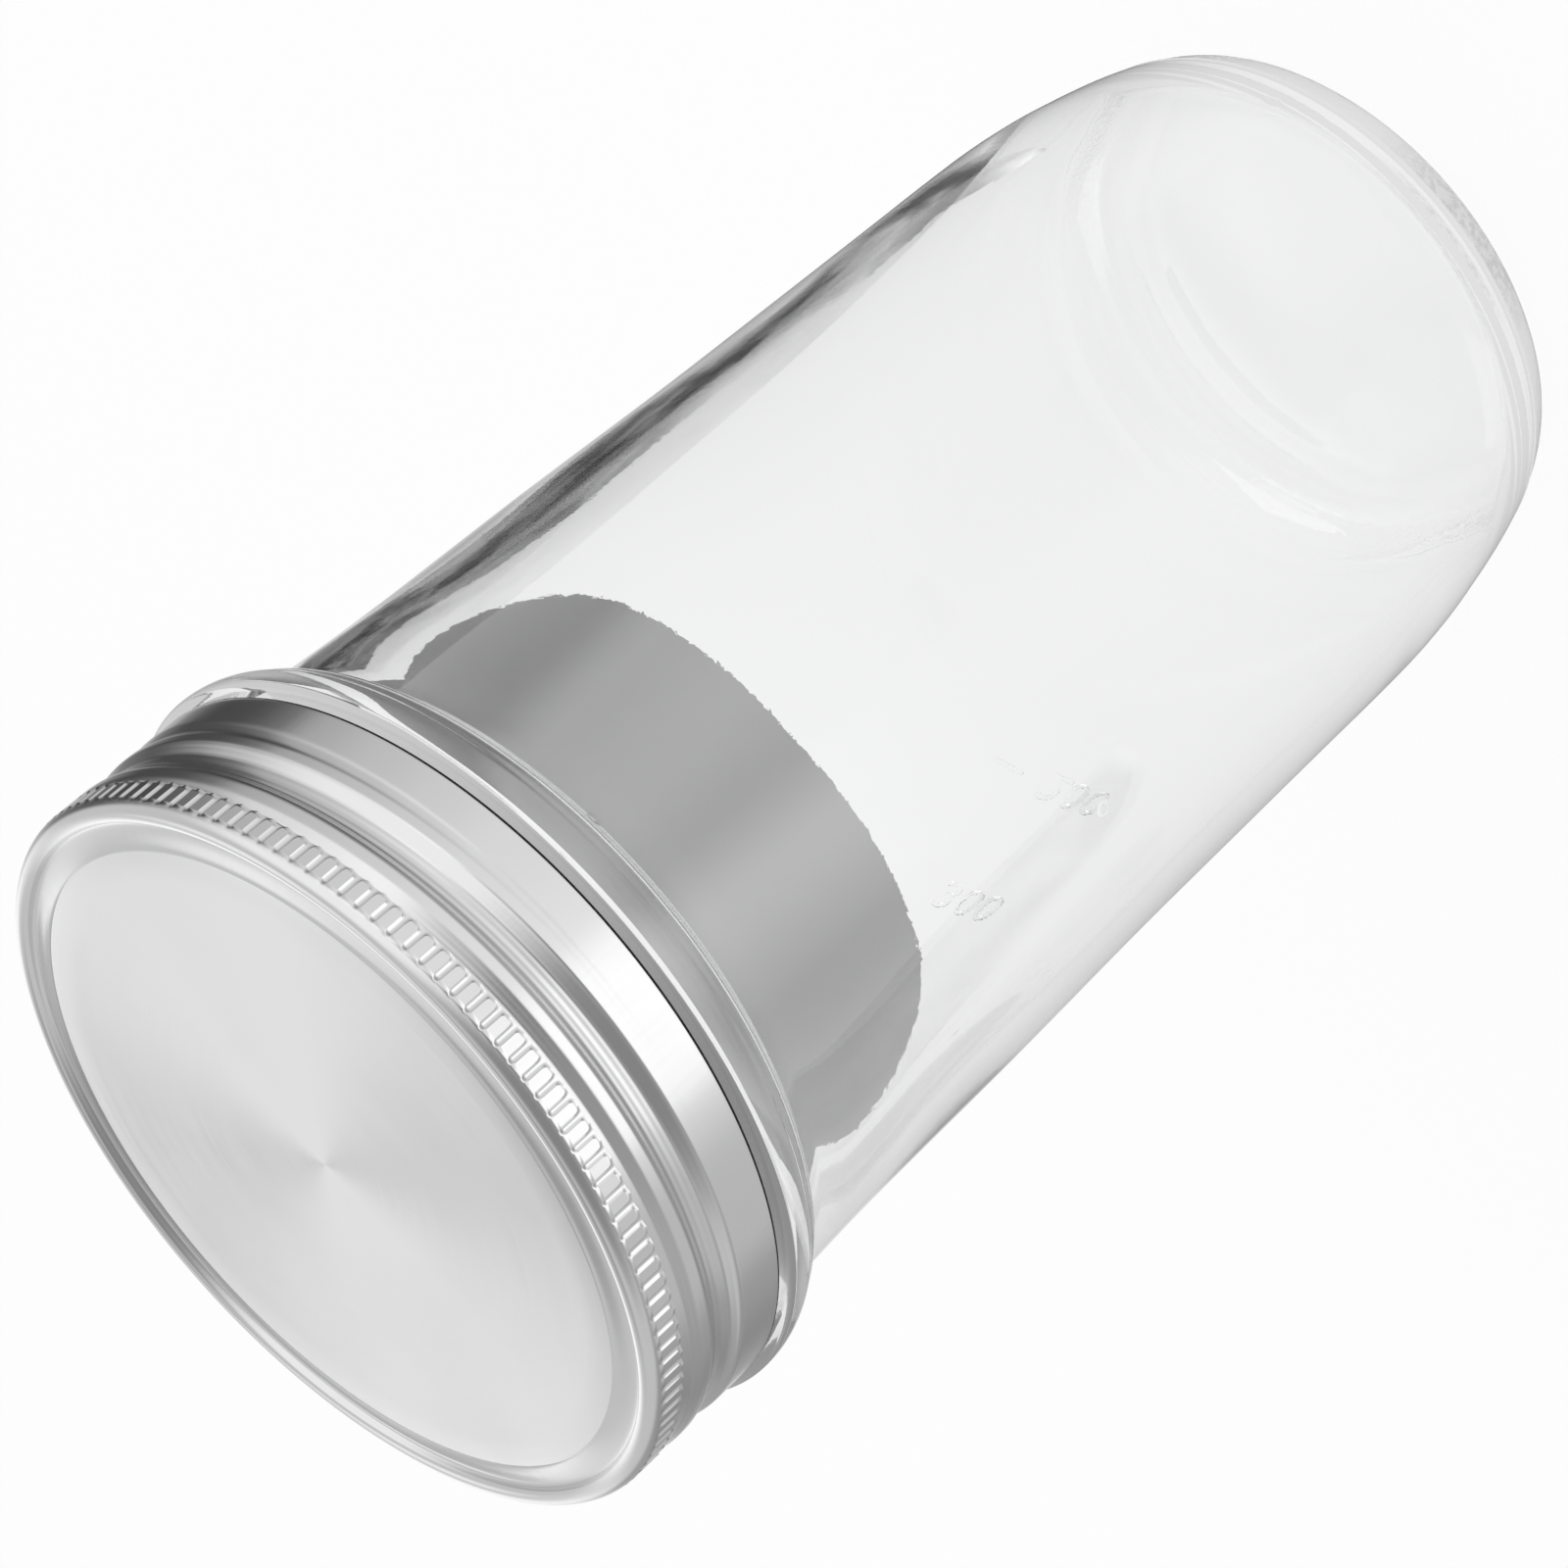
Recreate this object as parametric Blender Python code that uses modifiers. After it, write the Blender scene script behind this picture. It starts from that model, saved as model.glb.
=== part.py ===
"""Salad jar: a clear glass jar, a sealing ring and a stamped steel screw lid.

Lengths are in metres, +Z is up, and the jar stands on Z = 0 with its axis on the Z axis.
Heights with the word DROP are measured down from the top face of the lid's centre panel.
The lid's thread and the glass thread are right-handed and share one pitch.
"""

import math

import bmesh
import bpy
from mathutils import Matrix

# Shared by the pieces
ROUND_COLUMNS = 60
SEAT_GAP = 0.0003
THREAD_PITCH = 0.00635
THREAD_ROWS_PER_PITCH = 12
PANEL_HEIGHT = 0.1715

# Lid sheet, skirt and rolled thread
LID_RADIUS = 0.0455
SHEET_THICKNESS = 0.0005
GROOVE_DROP_AT_FRONT = 0.0116
GROOVE_DEPTH = 0.0010
GROOVE_HALF_WIDTH = 0.0016
CREASE_DEPTH = 0.0002
CREASE_HALF_WIDTH = 0.00006
THREAD_FADE_LENGTH = 0.0013
THREAD_STRIP_TURNS = 3
ROWS_BELOW_GROOVE = 7
ROWS_ABOVE_GROOVE = 11
SKIRT_END_DROP = 0.0189
SKIRT_LIP_DROP = 0.0193
SKIRT_LIP_SET_BACK = 0.0002

# Knurled band and undercut of the lid, set back from the lid's radius
KNURL_SET_BACK = 0.0004
KNURL_TOP_DROP = 0.0008
KNURL_BOTTOM_DROP = 0.0043
FLUTE_COUNT = 132
FLUTE_RELIEF = 0.0004
FLUTE_FOOT_WIDTH = 0.0017
FLUTE_CREST_WIDTH = 0.0011
FLUTE_EMBED = 0.0003
FLUTE_END_SLOPE = 0.0003
UNDERCUT_SET_BACK = 0.0009
UNDERCUT_TOP_DROP = 0.0048
UNDERCUT_BOTTOM_DROP = 0.0054

# Rim, channel and centre panel of the lid, set back from the lid's radius
RIM_OUTER_SET_BACK = 0.0008
RIM_OUTER_DROP = 0.0003
RIM_CREST_SET_BACK = 0.0018
RIM_RISE = 0.0004
RIM_INNER_SET_BACK = 0.0025
CHANNEL_DEPTH = 0.0008
CHANNEL_OUTER_SET_BACK = 0.0029
CHANNEL_INNER_SET_BACK = 0.0054
PANEL_SET_BACK = 0.0058

# Glass neck, set back from the inside of the lid
THREAD_CLEARANCE = 0.00055
NECK_CLEARANCE = 0.0018
NECK_WALL = 0.0037
RIM_OUTER_ROUNDING = 0.0012
RIM_INNER_ROUNDING = 0.0008

# Raised thread of the glass neck
GLASS_THREAD_EMBED = 0.0005
GLASS_THREAD_FOOT_HALF = 0.0012
GLASS_THREAD_CREST_HALF = 0.0004
GLASS_THREAD_LIFT = 0.0018
GLASS_THREAD_START_DEG = -351.0
GLASS_THREAD_END_DEG = 141.0
GLASS_THREAD_STEP_DEG = 6.0
GLASS_THREAD_RUNOUT_DEG = 24.0

# Sealing ring
RING_THICKNESS = 0.0015
RING_SIDE_CLEARANCE = 0.0006
RING_MOUTH_CLEARANCE = 0.0001
RING_EDGE_RADIUS = 0.0004

# Glass bead and shoulder: radii over the lid's radius, heights under its lip
BEAD_TOP_OVERHANG = 0.0003
BEAD_OVERHANG = 0.0018
BEAD_LIP_GAP = 0.0004
BEAD_UPPER_FALL = 0.0006
BEAD_LOWER_FALL = 0.0015
BEAD_FOOT_OVERHANG = 0.0001
BEAD_FOOT_FALL = 0.0044
SHOULDER_FALL = 0.0060
SHOULDER_OVERHANG = 0.0019
SHOULDER_END_FALL = 0.0080
SHOULDER_END_OVERHANG = 0.0001

# Glass body, outside
UPPER_BODY_RADIUS = 0.0422
UPPER_BODY_HEIGHT = 0.1397
HIGH_BODY_RADIUS = 0.0415
HIGH_BODY_HEIGHT = 0.1260
MIDDLE_BODY_RADIUS = 0.0411
MIDDLE_BODY_HEIGHT = 0.1030
LOW_BODY_RADIUS = 0.0403
LOW_BODY_HEIGHT = 0.0790
LOWER_BODY_RADIUS = 0.0399
LOWER_BODY_HEIGHT = 0.0560
HEEL_RADIUS = 0.0136
HEEL_SET_BACK = 0.0004
STAND_WIDTH = 0.0023
PUSH_UP_SLOPE_WIDTH = 0.0021
PUSH_UP_EDGE_HEIGHT = 0.0012
PUSH_UP_RISE = 0.0028

# Glass body, inside
BODY_WALL = 0.0030
INNER_NECK_END_FALL = 0.0028
INNER_SHOULDER_DROP_BELOW_NECK = 0.0070
INNER_HEEL_RADIUS = 0.0100
FLOOR_THICKNESS = 0.0060
FLOOR_CROWN = 0.0020

# Radii that follow from the lid's radius
SHEET_INNER_RADIUS = LID_RADIUS - SHEET_THICKNESS
KNURL_ROOT_RADIUS = LID_RADIUS - KNURL_SET_BACK
UNDERCUT_RADIUS = LID_RADIUS - UNDERCUT_SET_BACK
GLASS_THREAD_RADIUS = SHEET_INNER_RADIUS - THREAD_CLEARANCE
NECK_RADIUS = SHEET_INNER_RADIUS - NECK_CLEARANCE
MOUTH_RADIUS = NECK_RADIUS - NECK_WALL
RING_OUTER_RADIUS = KNURL_ROOT_RADIUS - SHEET_THICKNESS - RING_SIDE_CLEARANCE
RING_INNER_RADIUS = MOUTH_RADIUS + RING_MOUTH_CLEARANCE
HEEL_CENTRE_RADIUS = LOWER_BODY_RADIUS - HEEL_SET_BACK - HEEL_RADIUS
STAND_INNER_RADIUS = HEEL_CENTRE_RADIUS - STAND_WIDTH

# Heights that follow from the panel's height
LID_GROOVE_HEIGHT = PANEL_HEIGHT - GROOVE_DROP_AT_FRONT
THREAD_ROW = THREAD_PITCH / THREAD_ROWS_PER_PITCH
LID_THREAD_BOTTOM = LID_GROOVE_HEIGHT - ROWS_BELOW_GROOVE * THREAD_ROW
LID_THREAD_TOP = LID_GROOVE_HEIGHT + ROWS_ABOVE_GROOVE * THREAD_ROW
RING_TOP_HEIGHT = PANEL_HEIGHT - CHANNEL_DEPTH - SHEET_THICKNESS - SEAT_GAP
MOUTH_HEIGHT = RING_TOP_HEIGHT - RING_THICKNESS - SEAT_GAP
BEAD_TOP_HEIGHT = PANEL_HEIGHT - SKIRT_LIP_DROP - BEAD_LIP_GAP


def clear_objects():
    """Remove the objects of the start-up scene."""
    for item in list(bpy.data.objects):
        bpy.data.objects.remove(item, do_unlink=True)


def new_collection(name):
    """Add a collection to the scene."""
    group = bpy.data.collections.new(name)
    bpy.context.scene.collection.children.link(group)
    return group


def new_material(name, colour, roughness, metallic):
    """Make a plain material from its colour, roughness and metallic value."""
    material = bpy.data.materials.new(name)
    material.use_nodes = True
    shader = material.node_tree.nodes["Principled BSDF"]
    shader.inputs["Base Color"].default_value = colour
    shader.inputs["Roughness"].default_value = roughness
    shader.inputs["Metallic"].default_value = metallic
    return material


def new_object(name, bm, collection):
    """Turn a bmesh into an object of the collection."""
    mesh = bpy.data.meshes.new(name)
    bm.to_mesh(mesh)
    bm.free()
    thing = bpy.data.objects.new(name, mesh)
    collection.objects.link(thing)
    return thing


def smooth_by_angle(thing, degrees):
    """Shade a piece smooth and keep its sharp edges."""
    thing.data.shade_smooth()
    thing.data.set_sharp_from_angle(angle=math.radians(degrees))


def arc(centre_radius, centre_height, radius, start_deg, end_deg, steps):
    """Points of an arc in the (radius, height) plane, both ends included."""
    points = []
    for step in range(steps + 1):
        angle = math.radians(start_deg + (end_deg - start_deg) * step / steps)
        point = (
            centre_radius + radius * math.cos(angle),
            centre_height + radius * math.sin(angle),
        )
        points.append(point)
    return points


def add_chain(bm, points):
    """Add a chain of edges through (radius, height) points at +X and return it."""
    vertices = [bm.verts.new((radius, 0.0, height)) for radius, height in points]
    edges = [bm.edges.new(pair) for pair in zip(vertices, vertices[1:])]
    return vertices + edges


def turn(bm, chain):
    """Turn a chain of edges once around the Z axis."""
    bmesh.ops.spin(
        bm,
        geom=chain,
        cent=(0.0, 0.0, 0.0),
        axis=(0.0, 0.0, 1.0),
        angle=math.tau,
        steps=ROUND_COLUMNS,
    )


def close_and_face_out(bm):
    """Merge the seam of a turned surface and face it outward."""
    bmesh.ops.remove_doubles(bm, verts=bm.verts, dist=0.00001)
    bmesh.ops.recalc_face_normals(bm, faces=bm.faces)


def join_solid(thing, other):
    """Unite another solid with a piece, exactly."""
    union = thing.modifiers.new("joined " + other.name, "BOOLEAN")
    union.operation = "UNION"
    union.solver = "EXACT"
    union.object = other


def hide_helper(thing):
    """Show a helper solid as a wire and keep it out of renders."""
    thing.hide_render = True
    thing.display_type = "WIRE"


def groove_height(angle):
    """Height of the middle of the lid's rolled groove at an angle in radians."""
    return LID_GROOVE_HEIGHT + THREAD_PITCH * angle / math.tau


def groove_offset(angle, height):
    """Height over the nearest turn of the groove, within half a pitch."""
    turns = (height - groove_height(angle)) / THREAD_PITCH
    return (turns - math.floor(turns + 0.5)) * THREAD_PITCH


def rolled_radius(angle, height):
    """Outside radius of the lid's threaded zone at an angle and a height."""
    offset = abs(groove_offset(angle, height))
    depth = 0.0
    if offset < GROOVE_HALF_WIDTH:
        depth = GROOVE_DEPTH * math.cos(math.pi * offset / GROOVE_HALF_WIDTH / 2.0) ** 2
    if offset > THREAD_PITCH / 2.0 - CREASE_HALF_WIDTH:
        depth = CREASE_DEPTH
    margin = min(height - LID_THREAD_BOTTOM, LID_THREAD_TOP - height)
    fade = min(1.0, max(0.0, margin / THREAD_FADE_LENGTH))
    return LID_RADIUS - depth * fade * fade * (3.0 - 2.0 * fade)


def add_rolled_thread(bm):
    """Add the lid's threaded zone: a helical strip, trimmed flat and rolled to depth."""
    start = LID_THREAD_BOTTOM - THREAD_PITCH
    heights = [start + THREAD_ROW * step for step in range(THREAD_ROWS_PER_PITCH + 1)]
    strip = bmesh.new()
    chain = add_chain(strip, [(LID_RADIUS, height) for height in heights])
    bmesh.ops.spin(
        strip,
        geom=chain,
        cent=(0.0, 0.0, 0.0),
        axis=(0.0, 0.0, 1.0),
        dvec=(0.0, 0.0, THREAD_PITCH / ROUND_COLUMNS),
        angle=math.tau * THREAD_STRIP_TURNS,
        steps=ROUND_COLUMNS * THREAD_STRIP_TURNS,
    )
    bmesh.ops.remove_doubles(strip, verts=strip.verts, dist=0.00001)
    for height, side in ((LID_THREAD_BOTTOM, -1.0), (LID_THREAD_TOP, 1.0)):
        bmesh.ops.bisect_plane(
            strip,
            geom=strip.verts[:] + strip.edges[:] + strip.faces[:],
            dist=0.000002,
            plane_co=(0.0, 0.0, height),
            plane_no=(0.0, 0.0, side),
            clear_outer=True,
        )
    for vertex in strip.verts:
        angle = math.atan2(vertex.co.y, vertex.co.x)
        radius = rolled_radius(angle, vertex.co.z)
        vertex.co.x = radius * math.cos(angle)
        vertex.co.y = radius * math.sin(angle)
    mesh = bpy.data.meshes.new("rolled thread strip")
    strip.to_mesh(mesh)
    strip.free()
    bm.from_mesh(mesh)
    bpy.data.meshes.remove(mesh)


def lid_top_profile():
    """Outside of the lid from the axis, over panel, channel, rim and knurl, to the thread."""
    top = PANEL_HEIGHT
    return [
        (0.0, top),
        (LID_RADIUS - PANEL_SET_BACK, top),
        (LID_RADIUS - CHANNEL_INNER_SET_BACK, top - CHANNEL_DEPTH),
        (LID_RADIUS - CHANNEL_OUTER_SET_BACK, top - CHANNEL_DEPTH),
        (LID_RADIUS - RIM_INNER_SET_BACK, top),
        (LID_RADIUS - RIM_CREST_SET_BACK, top + RIM_RISE),
        (LID_RADIUS - RIM_OUTER_SET_BACK, top - RIM_OUTER_DROP),
        (KNURL_ROOT_RADIUS, top - KNURL_TOP_DROP),
        (KNURL_ROOT_RADIUS, top - KNURL_BOTTOM_DROP),
        (UNDERCUT_RADIUS, top - UNDERCUT_TOP_DROP),
        (UNDERCUT_RADIUS, top - UNDERCUT_BOTTOM_DROP),
        (LID_RADIUS, LID_THREAD_TOP),
    ]


def lid_skirt_profile():
    """Outside of the lid from the end of the thread to the lip."""
    return [
        (LID_RADIUS, LID_THREAD_BOTTOM),
        (LID_RADIUS, PANEL_HEIGHT - SKIRT_END_DROP),
        (LID_RADIUS - SKIRT_LIP_SET_BACK, PANEL_HEIGHT - SKIRT_LIP_DROP),
    ]


def make_flutes(collection):
    """Make the raised flutes of the knurled band as one helper solid."""
    bm = bmesh.new()
    foot = KNURL_ROOT_RADIUS - FLUTE_EMBED
    height = KNURL_BOTTOM_DROP - KNURL_TOP_DROP
    middle = PANEL_HEIGHT - (KNURL_BOTTOM_DROP + KNURL_TOP_DROP) / 2.0
    depth = FLUTE_EMBED + FLUTE_RELIEF
    for flute in range(FLUTE_COUNT):
        made = bmesh.ops.create_cube(bm, size=1.0)
        for vertex in made["verts"]:
            crest = vertex.co.x > 0.0
            width = FLUTE_CREST_WIDTH if crest else FLUTE_FOOT_WIDTH
            length = height - 2.0 * FLUTE_END_SLOPE if crest else height
            vertex.co.x = foot + (depth if crest else 0.0)
            vertex.co.y *= width
            vertex.co.z = middle + vertex.co.z * length
        turn = Matrix.Rotation(math.tau * (flute + 0.5) / FLUTE_COUNT, 3, "Z")
        bmesh.ops.rotate(bm, verts=made["verts"], matrix=turn)
    flutes = new_object("knurl flutes", bm, collection)
    hide_helper(flutes)
    return flutes


def make_lid(collection, helpers):
    """Make the stamped lid: turned top and skirt, rolled thread, sheet thickness, flutes."""
    bm = bmesh.new()
    turn(bm, add_chain(bm, lid_top_profile()))
    turn(bm, add_chain(bm, lid_skirt_profile()))
    add_rolled_thread(bm)
    close_and_face_out(bm)
    lid = new_object("screw_lid", bm, collection)
    sheet = lid.modifiers.new("sheet", "SOLIDIFY")
    sheet.thickness = SHEET_THICKNESS
    sheet.offset = -1.0
    sheet.use_even_offset = True
    join_solid(lid, make_flutes(helpers))
    smooth_by_angle(lid, 30.0)
    lid.data.materials.append(new_material("stamped steel", (0.62, 0.62, 0.63, 1.0), 0.25, 1.0))
    return lid


def jar_outside():
    """Outside of the glass from the rim's outer rounding down to the axis of the base."""
    top = BEAD_TOP_HEIGHT
    rim = arc(
        NECK_RADIUS - RIM_OUTER_ROUNDING,
        MOUTH_HEIGHT - RIM_OUTER_ROUNDING,
        RIM_OUTER_ROUNDING,
        90.0,
        0.0,
        4,
    )
    upper = [
        (NECK_RADIUS, top),
        (LID_RADIUS + BEAD_TOP_OVERHANG, top),
        (LID_RADIUS + BEAD_OVERHANG, top - BEAD_UPPER_FALL),
        (LID_RADIUS + BEAD_OVERHANG, top - BEAD_LOWER_FALL),
        (LID_RADIUS + BEAD_FOOT_OVERHANG, top - BEAD_FOOT_FALL),
        (UPPER_BODY_RADIUS + SHOULDER_OVERHANG, top - SHOULDER_FALL),
        (UPPER_BODY_RADIUS + SHOULDER_END_OVERHANG, top - SHOULDER_END_FALL),
        (UPPER_BODY_RADIUS, UPPER_BODY_HEIGHT),
        (HIGH_BODY_RADIUS, HIGH_BODY_HEIGHT),
        (MIDDLE_BODY_RADIUS, MIDDLE_BODY_HEIGHT),
        (LOW_BODY_RADIUS, LOW_BODY_HEIGHT),
        (LOWER_BODY_RADIUS, LOWER_BODY_HEIGHT),
    ]
    heel = arc(HEEL_CENTRE_RADIUS, HEEL_RADIUS, HEEL_RADIUS, 0.0, -90.0, 8)
    base = [
        (STAND_INNER_RADIUS, 0.0),
        (STAND_INNER_RADIUS - PUSH_UP_SLOPE_WIDTH, PUSH_UP_EDGE_HEIGHT),
        (0.0, PUSH_UP_RISE),
    ]
    return rim + upper + heel + base


def jar_inside():
    """Inside of the glass from the axis of the floor up to the rim's inner rounding."""
    heel = arc(
        LOWER_BODY_RADIUS - BODY_WALL - INNER_HEEL_RADIUS,
        FLOOR_THICKNESS + INNER_HEEL_RADIUS,
        INNER_HEEL_RADIUS,
        -90.0,
        0.0,
        6,
    )
    neck_end = BEAD_TOP_HEIGHT - INNER_NECK_END_FALL
    wall = [
        (MIDDLE_BODY_RADIUS - BODY_WALL, MIDDLE_BODY_HEIGHT),
        (UPPER_BODY_RADIUS - BODY_WALL, neck_end - INNER_SHOULDER_DROP_BELOW_NECK),
        (MOUTH_RADIUS, neck_end),
    ]
    rim = arc(
        MOUTH_RADIUS + RIM_INNER_ROUNDING,
        MOUTH_HEIGHT - RIM_INNER_ROUNDING,
        RIM_INNER_ROUNDING,
        180.0,
        90.0,
        3,
    )
    return [(0.0, FLOOR_THICKNESS + FLOOR_CROWN)] + heel + wall + rim


def make_glass_thread(collection):
    """Make the raised thread of the glass neck as a helper solid that fades at both ends."""
    bm = bmesh.new()
    foot = GLASS_THREAD_FOOT_HALF
    crest = GLASS_THREAD_CREST_HALF
    start = math.radians(GLASS_THREAD_START_DEG)
    sweep = math.radians(GLASS_THREAD_END_DEG - GLASS_THREAD_START_DEG)
    steps = round((GLASS_THREAD_END_DEG - GLASS_THREAD_START_DEG) / GLASS_THREAD_STEP_DEG)
    middle = groove_height(start) + GLASS_THREAD_LIFT
    section = add_chain(
        bm,
        [
            (NECK_RADIUS - GLASS_THREAD_EMBED, middle - foot),
            (GLASS_THREAD_RADIUS, middle - crest),
            (GLASS_THREAD_RADIUS, middle + crest),
            (NECK_RADIUS - GLASS_THREAD_EMBED, middle + foot),
        ],
    )
    corners = section[:4]
    bm.edges.new((corners[3], corners[0]))
    bmesh.ops.rotate(bm, verts=corners, matrix=Matrix.Rotation(start, 3, "Z"))
    face = bmesh.ops.contextual_create(bm, geom=corners)["faces"][0]
    bmesh.ops.spin(
        bm,
        geom=[face] + list(face.edges) + corners,
        cent=(0.0, 0.0, 0.0),
        axis=(0.0, 0.0, 1.0),
        dvec=(0.0, 0.0, THREAD_PITCH * sweep / math.tau / steps),
        angle=sweep,
        steps=steps,
    )
    bmesh.ops.recalc_face_normals(bm, faces=bm.faces)
    fade_thread_ends(bm)
    thread = new_object("glass thread", bm, collection)
    hide_helper(thread)
    return thread


def fade_thread_ends(bm):
    """Draw the crest of the glass thread down into the neck near both of its ends."""
    first = groove_height(math.radians(GLASS_THREAD_START_DEG)) + GLASS_THREAD_LIFT
    last = groove_height(math.radians(GLASS_THREAD_END_DEG)) + GLASS_THREAD_LIFT
    rise = THREAD_PITCH * GLASS_THREAD_RUNOUT_DEG / 360.0
    sunk = NECK_RADIUS - SEAT_GAP
    for vertex in bm.verts:
        radius = math.hypot(vertex.co.x, vertex.co.y)
        if radius < NECK_RADIUS:
            continue
        angle = math.atan2(vertex.co.y, vertex.co.x)
        lift = groove_offset(angle, vertex.co.z - GLASS_THREAD_LIFT)
        middle = vertex.co.z - lift
        share = max(0.0, min(1.0, min(middle - first, last - middle) / rise))
        eased = share * share * (3.0 - 2.0 * share)
        scale = (sunk + (radius - sunk) * eased) / radius
        vertex.co.x *= scale
        vertex.co.y *= scale


def make_jar(collection, helpers):
    """Make the glass jar: a turned wall with the raised thread on its neck."""
    bm = bmesh.new()
    turn(bm, add_chain(bm, jar_inside() + jar_outside()))
    close_and_face_out(bm)
    jar = new_object("glass_jar", bm, collection)
    join_solid(jar, make_glass_thread(helpers))
    smooth_by_angle(jar, 30.0)
    jar.data.materials.append(new_material("clear glass", (0.86, 0.88, 0.88, 1.0), 0.05, 0.0))
    return jar


def make_ring(collection):
    """Make the flat elastic ring that seals the glass rim inside the lid."""
    top = RING_TOP_HEIGHT
    bottom = RING_TOP_HEIGHT - RING_THICKNESS
    edge = RING_EDGE_RADIUS
    points = [
        (RING_INNER_RADIUS, bottom + edge),
        (RING_INNER_RADIUS, top - edge),
        (RING_INNER_RADIUS + edge, top),
        (RING_OUTER_RADIUS - edge, top),
        (RING_OUTER_RADIUS, top - edge),
        (RING_OUTER_RADIUS, bottom + edge),
        (RING_OUTER_RADIUS - edge, bottom),
        (RING_INNER_RADIUS + edge, bottom),
        (RING_INNER_RADIUS, bottom + edge),
    ]
    bm = bmesh.new()
    turn(bm, add_chain(bm, points))
    close_and_face_out(bm)
    ring = new_object("sealing_ring", bm, collection)
    smooth_by_angle(ring, 50.0)
    ring.data.materials.append(new_material("seal rubber", (0.80, 0.80, 0.78, 1.0), 0.6, 0.0))
    return ring


def main():
    """Build the salad jar."""
    clear_objects()
    parts = new_collection("salad_jar")
    helpers = new_collection("salad_jar_helpers")
    make_jar(parts, helpers)
    make_ring(parts)
    make_lid(parts, helpers)


main()
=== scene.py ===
"""Salad jar, dressed: glass jar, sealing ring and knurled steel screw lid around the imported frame.

Lengths inside the classes are in millimetres, as a maker would write them, and become metres when a
profile is turned. Angles are in degrees, and azimuth 0 is +X, the side that faces the camera.
"""

from __future__ import annotations

import logging
import math
from dataclasses import dataclass, field
from enum import Enum
from typing import Callable, Iterable, Sequence

import bmesh
import bpy
from mathutils import Matrix, Vector, noise


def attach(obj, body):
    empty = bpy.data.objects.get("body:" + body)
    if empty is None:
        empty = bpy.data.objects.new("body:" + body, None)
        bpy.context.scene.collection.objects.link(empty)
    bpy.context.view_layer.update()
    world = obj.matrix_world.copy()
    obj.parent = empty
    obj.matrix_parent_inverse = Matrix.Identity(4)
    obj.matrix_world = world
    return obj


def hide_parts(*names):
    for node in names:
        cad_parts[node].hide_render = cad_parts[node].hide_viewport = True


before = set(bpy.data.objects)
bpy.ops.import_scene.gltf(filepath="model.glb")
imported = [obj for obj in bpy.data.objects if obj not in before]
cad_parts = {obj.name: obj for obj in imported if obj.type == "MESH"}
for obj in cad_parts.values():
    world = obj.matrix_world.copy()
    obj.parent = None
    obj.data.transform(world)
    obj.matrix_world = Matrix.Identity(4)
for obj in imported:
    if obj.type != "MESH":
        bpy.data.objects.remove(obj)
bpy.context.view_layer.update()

LOG = logging.getLogger("salad_jar")
MM = 0.001
MERGE_DISTANCE = 0.000002
SAME_HEIGHT = 0.001
SECTOR_COLUMNS = 20
JAR_MIDDLE = 0.09

Point = tuple[float, float]
Knots = tuple[Point, ...]
Colour = tuple[float, float, float]
Material = bpy.types.Material
Node = bpy.types.Node
Socket = bpy.types.NodeSocket
BMesh = bmesh.types.BMesh
Vertex = bmesh.types.BMVert

# Brightness that mirrors show behind the jar, by azimuth, of the floor and the horizon alike
BEHIND_LEFT = ((-180.0, 1.20), (-165.0, 1.00), (-150.0, 0.40))
BEHIND_RIGHT = ((146.0, 0.20), (156.0, 0.55), (168.0, 1.10), (180.0, 1.20))


# Shapes


def clamp01(value: float) -> float:
    """Limit a value to the range from 0 to 1."""
    return min(1.0, max(0.0, value))


def ease(value: float) -> float:
    """Ease a share from 0 to 1 with flat ends."""
    share = clamp01(value)
    return share * share * (3.0 - 2.0 * share)


def along_knots(knots: Sequence[Point], where: float) -> float:
    """Read a curve that is given by knots.

    Args:
        knots: (place, value) pairs in rising order of place.
        where: the place to read.

    Returns:
        The value there, eased between the two knots around it.
    """
    if where <= knots[0][0]:
        return knots[0][1]
    for (low, first), (high, second) in zip(knots, knots[1:]):
        if where <= high:
            return first + (second - first) * ease((where - low) / (high - low))
    return knots[-1][1]


def smooth_run(knots: Sequence[Point], step: float) -> list[Point]:
    """Draw a smooth run through profile knots.

    Args:
        knots: (radius, height) pairs that the run passes through.
        step: the largest distance between two points of the run, in millimetres.

    Returns:
        The points of the run, its ends included.
    """
    ends = [Vector(knots[0]) * 2.0 - Vector(knots[1]), Vector(knots[-1]) * 2.0 - Vector(knots[-2])]
    guide = [ends[0]] + [Vector(knot) for knot in knots] + [ends[1]]
    run: list[Point] = []
    for before, start, end, after in zip(guide, guide[1:], guide[2:], guide[3:]):
        count = max(1, math.ceil((end - start).length / step))
        for index in range(count):
            t = index / count
            place = 0.5 * (
                2.0 * start
                + (end - before) * t
                + (2.0 * before - 5.0 * start + 4.0 * end - after) * t * t
                + (3.0 * start - before - 3.0 * end + after) * t * t * t
            )
            run.append((place.x, place.y))
    run.append((knots[-1][0], knots[-1][1]))
    return run


def add_profile(bm: BMesh, points: Iterable[Point]) -> list:
    """Add a profile at azimuth 0 as a chain of edges.

    Args:
        bm: the mesh that takes the chain.
        points: (radius, height) pairs in millimetres.

    Returns:
        The new vertices and edges.
    """
    vertices = [bm.verts.new((radius * MM, 0.0, height * MM)) for radius, height in points]
    edges = [bm.edges.new(pair) for pair in zip(vertices, vertices[1:])]
    return vertices + edges


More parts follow.
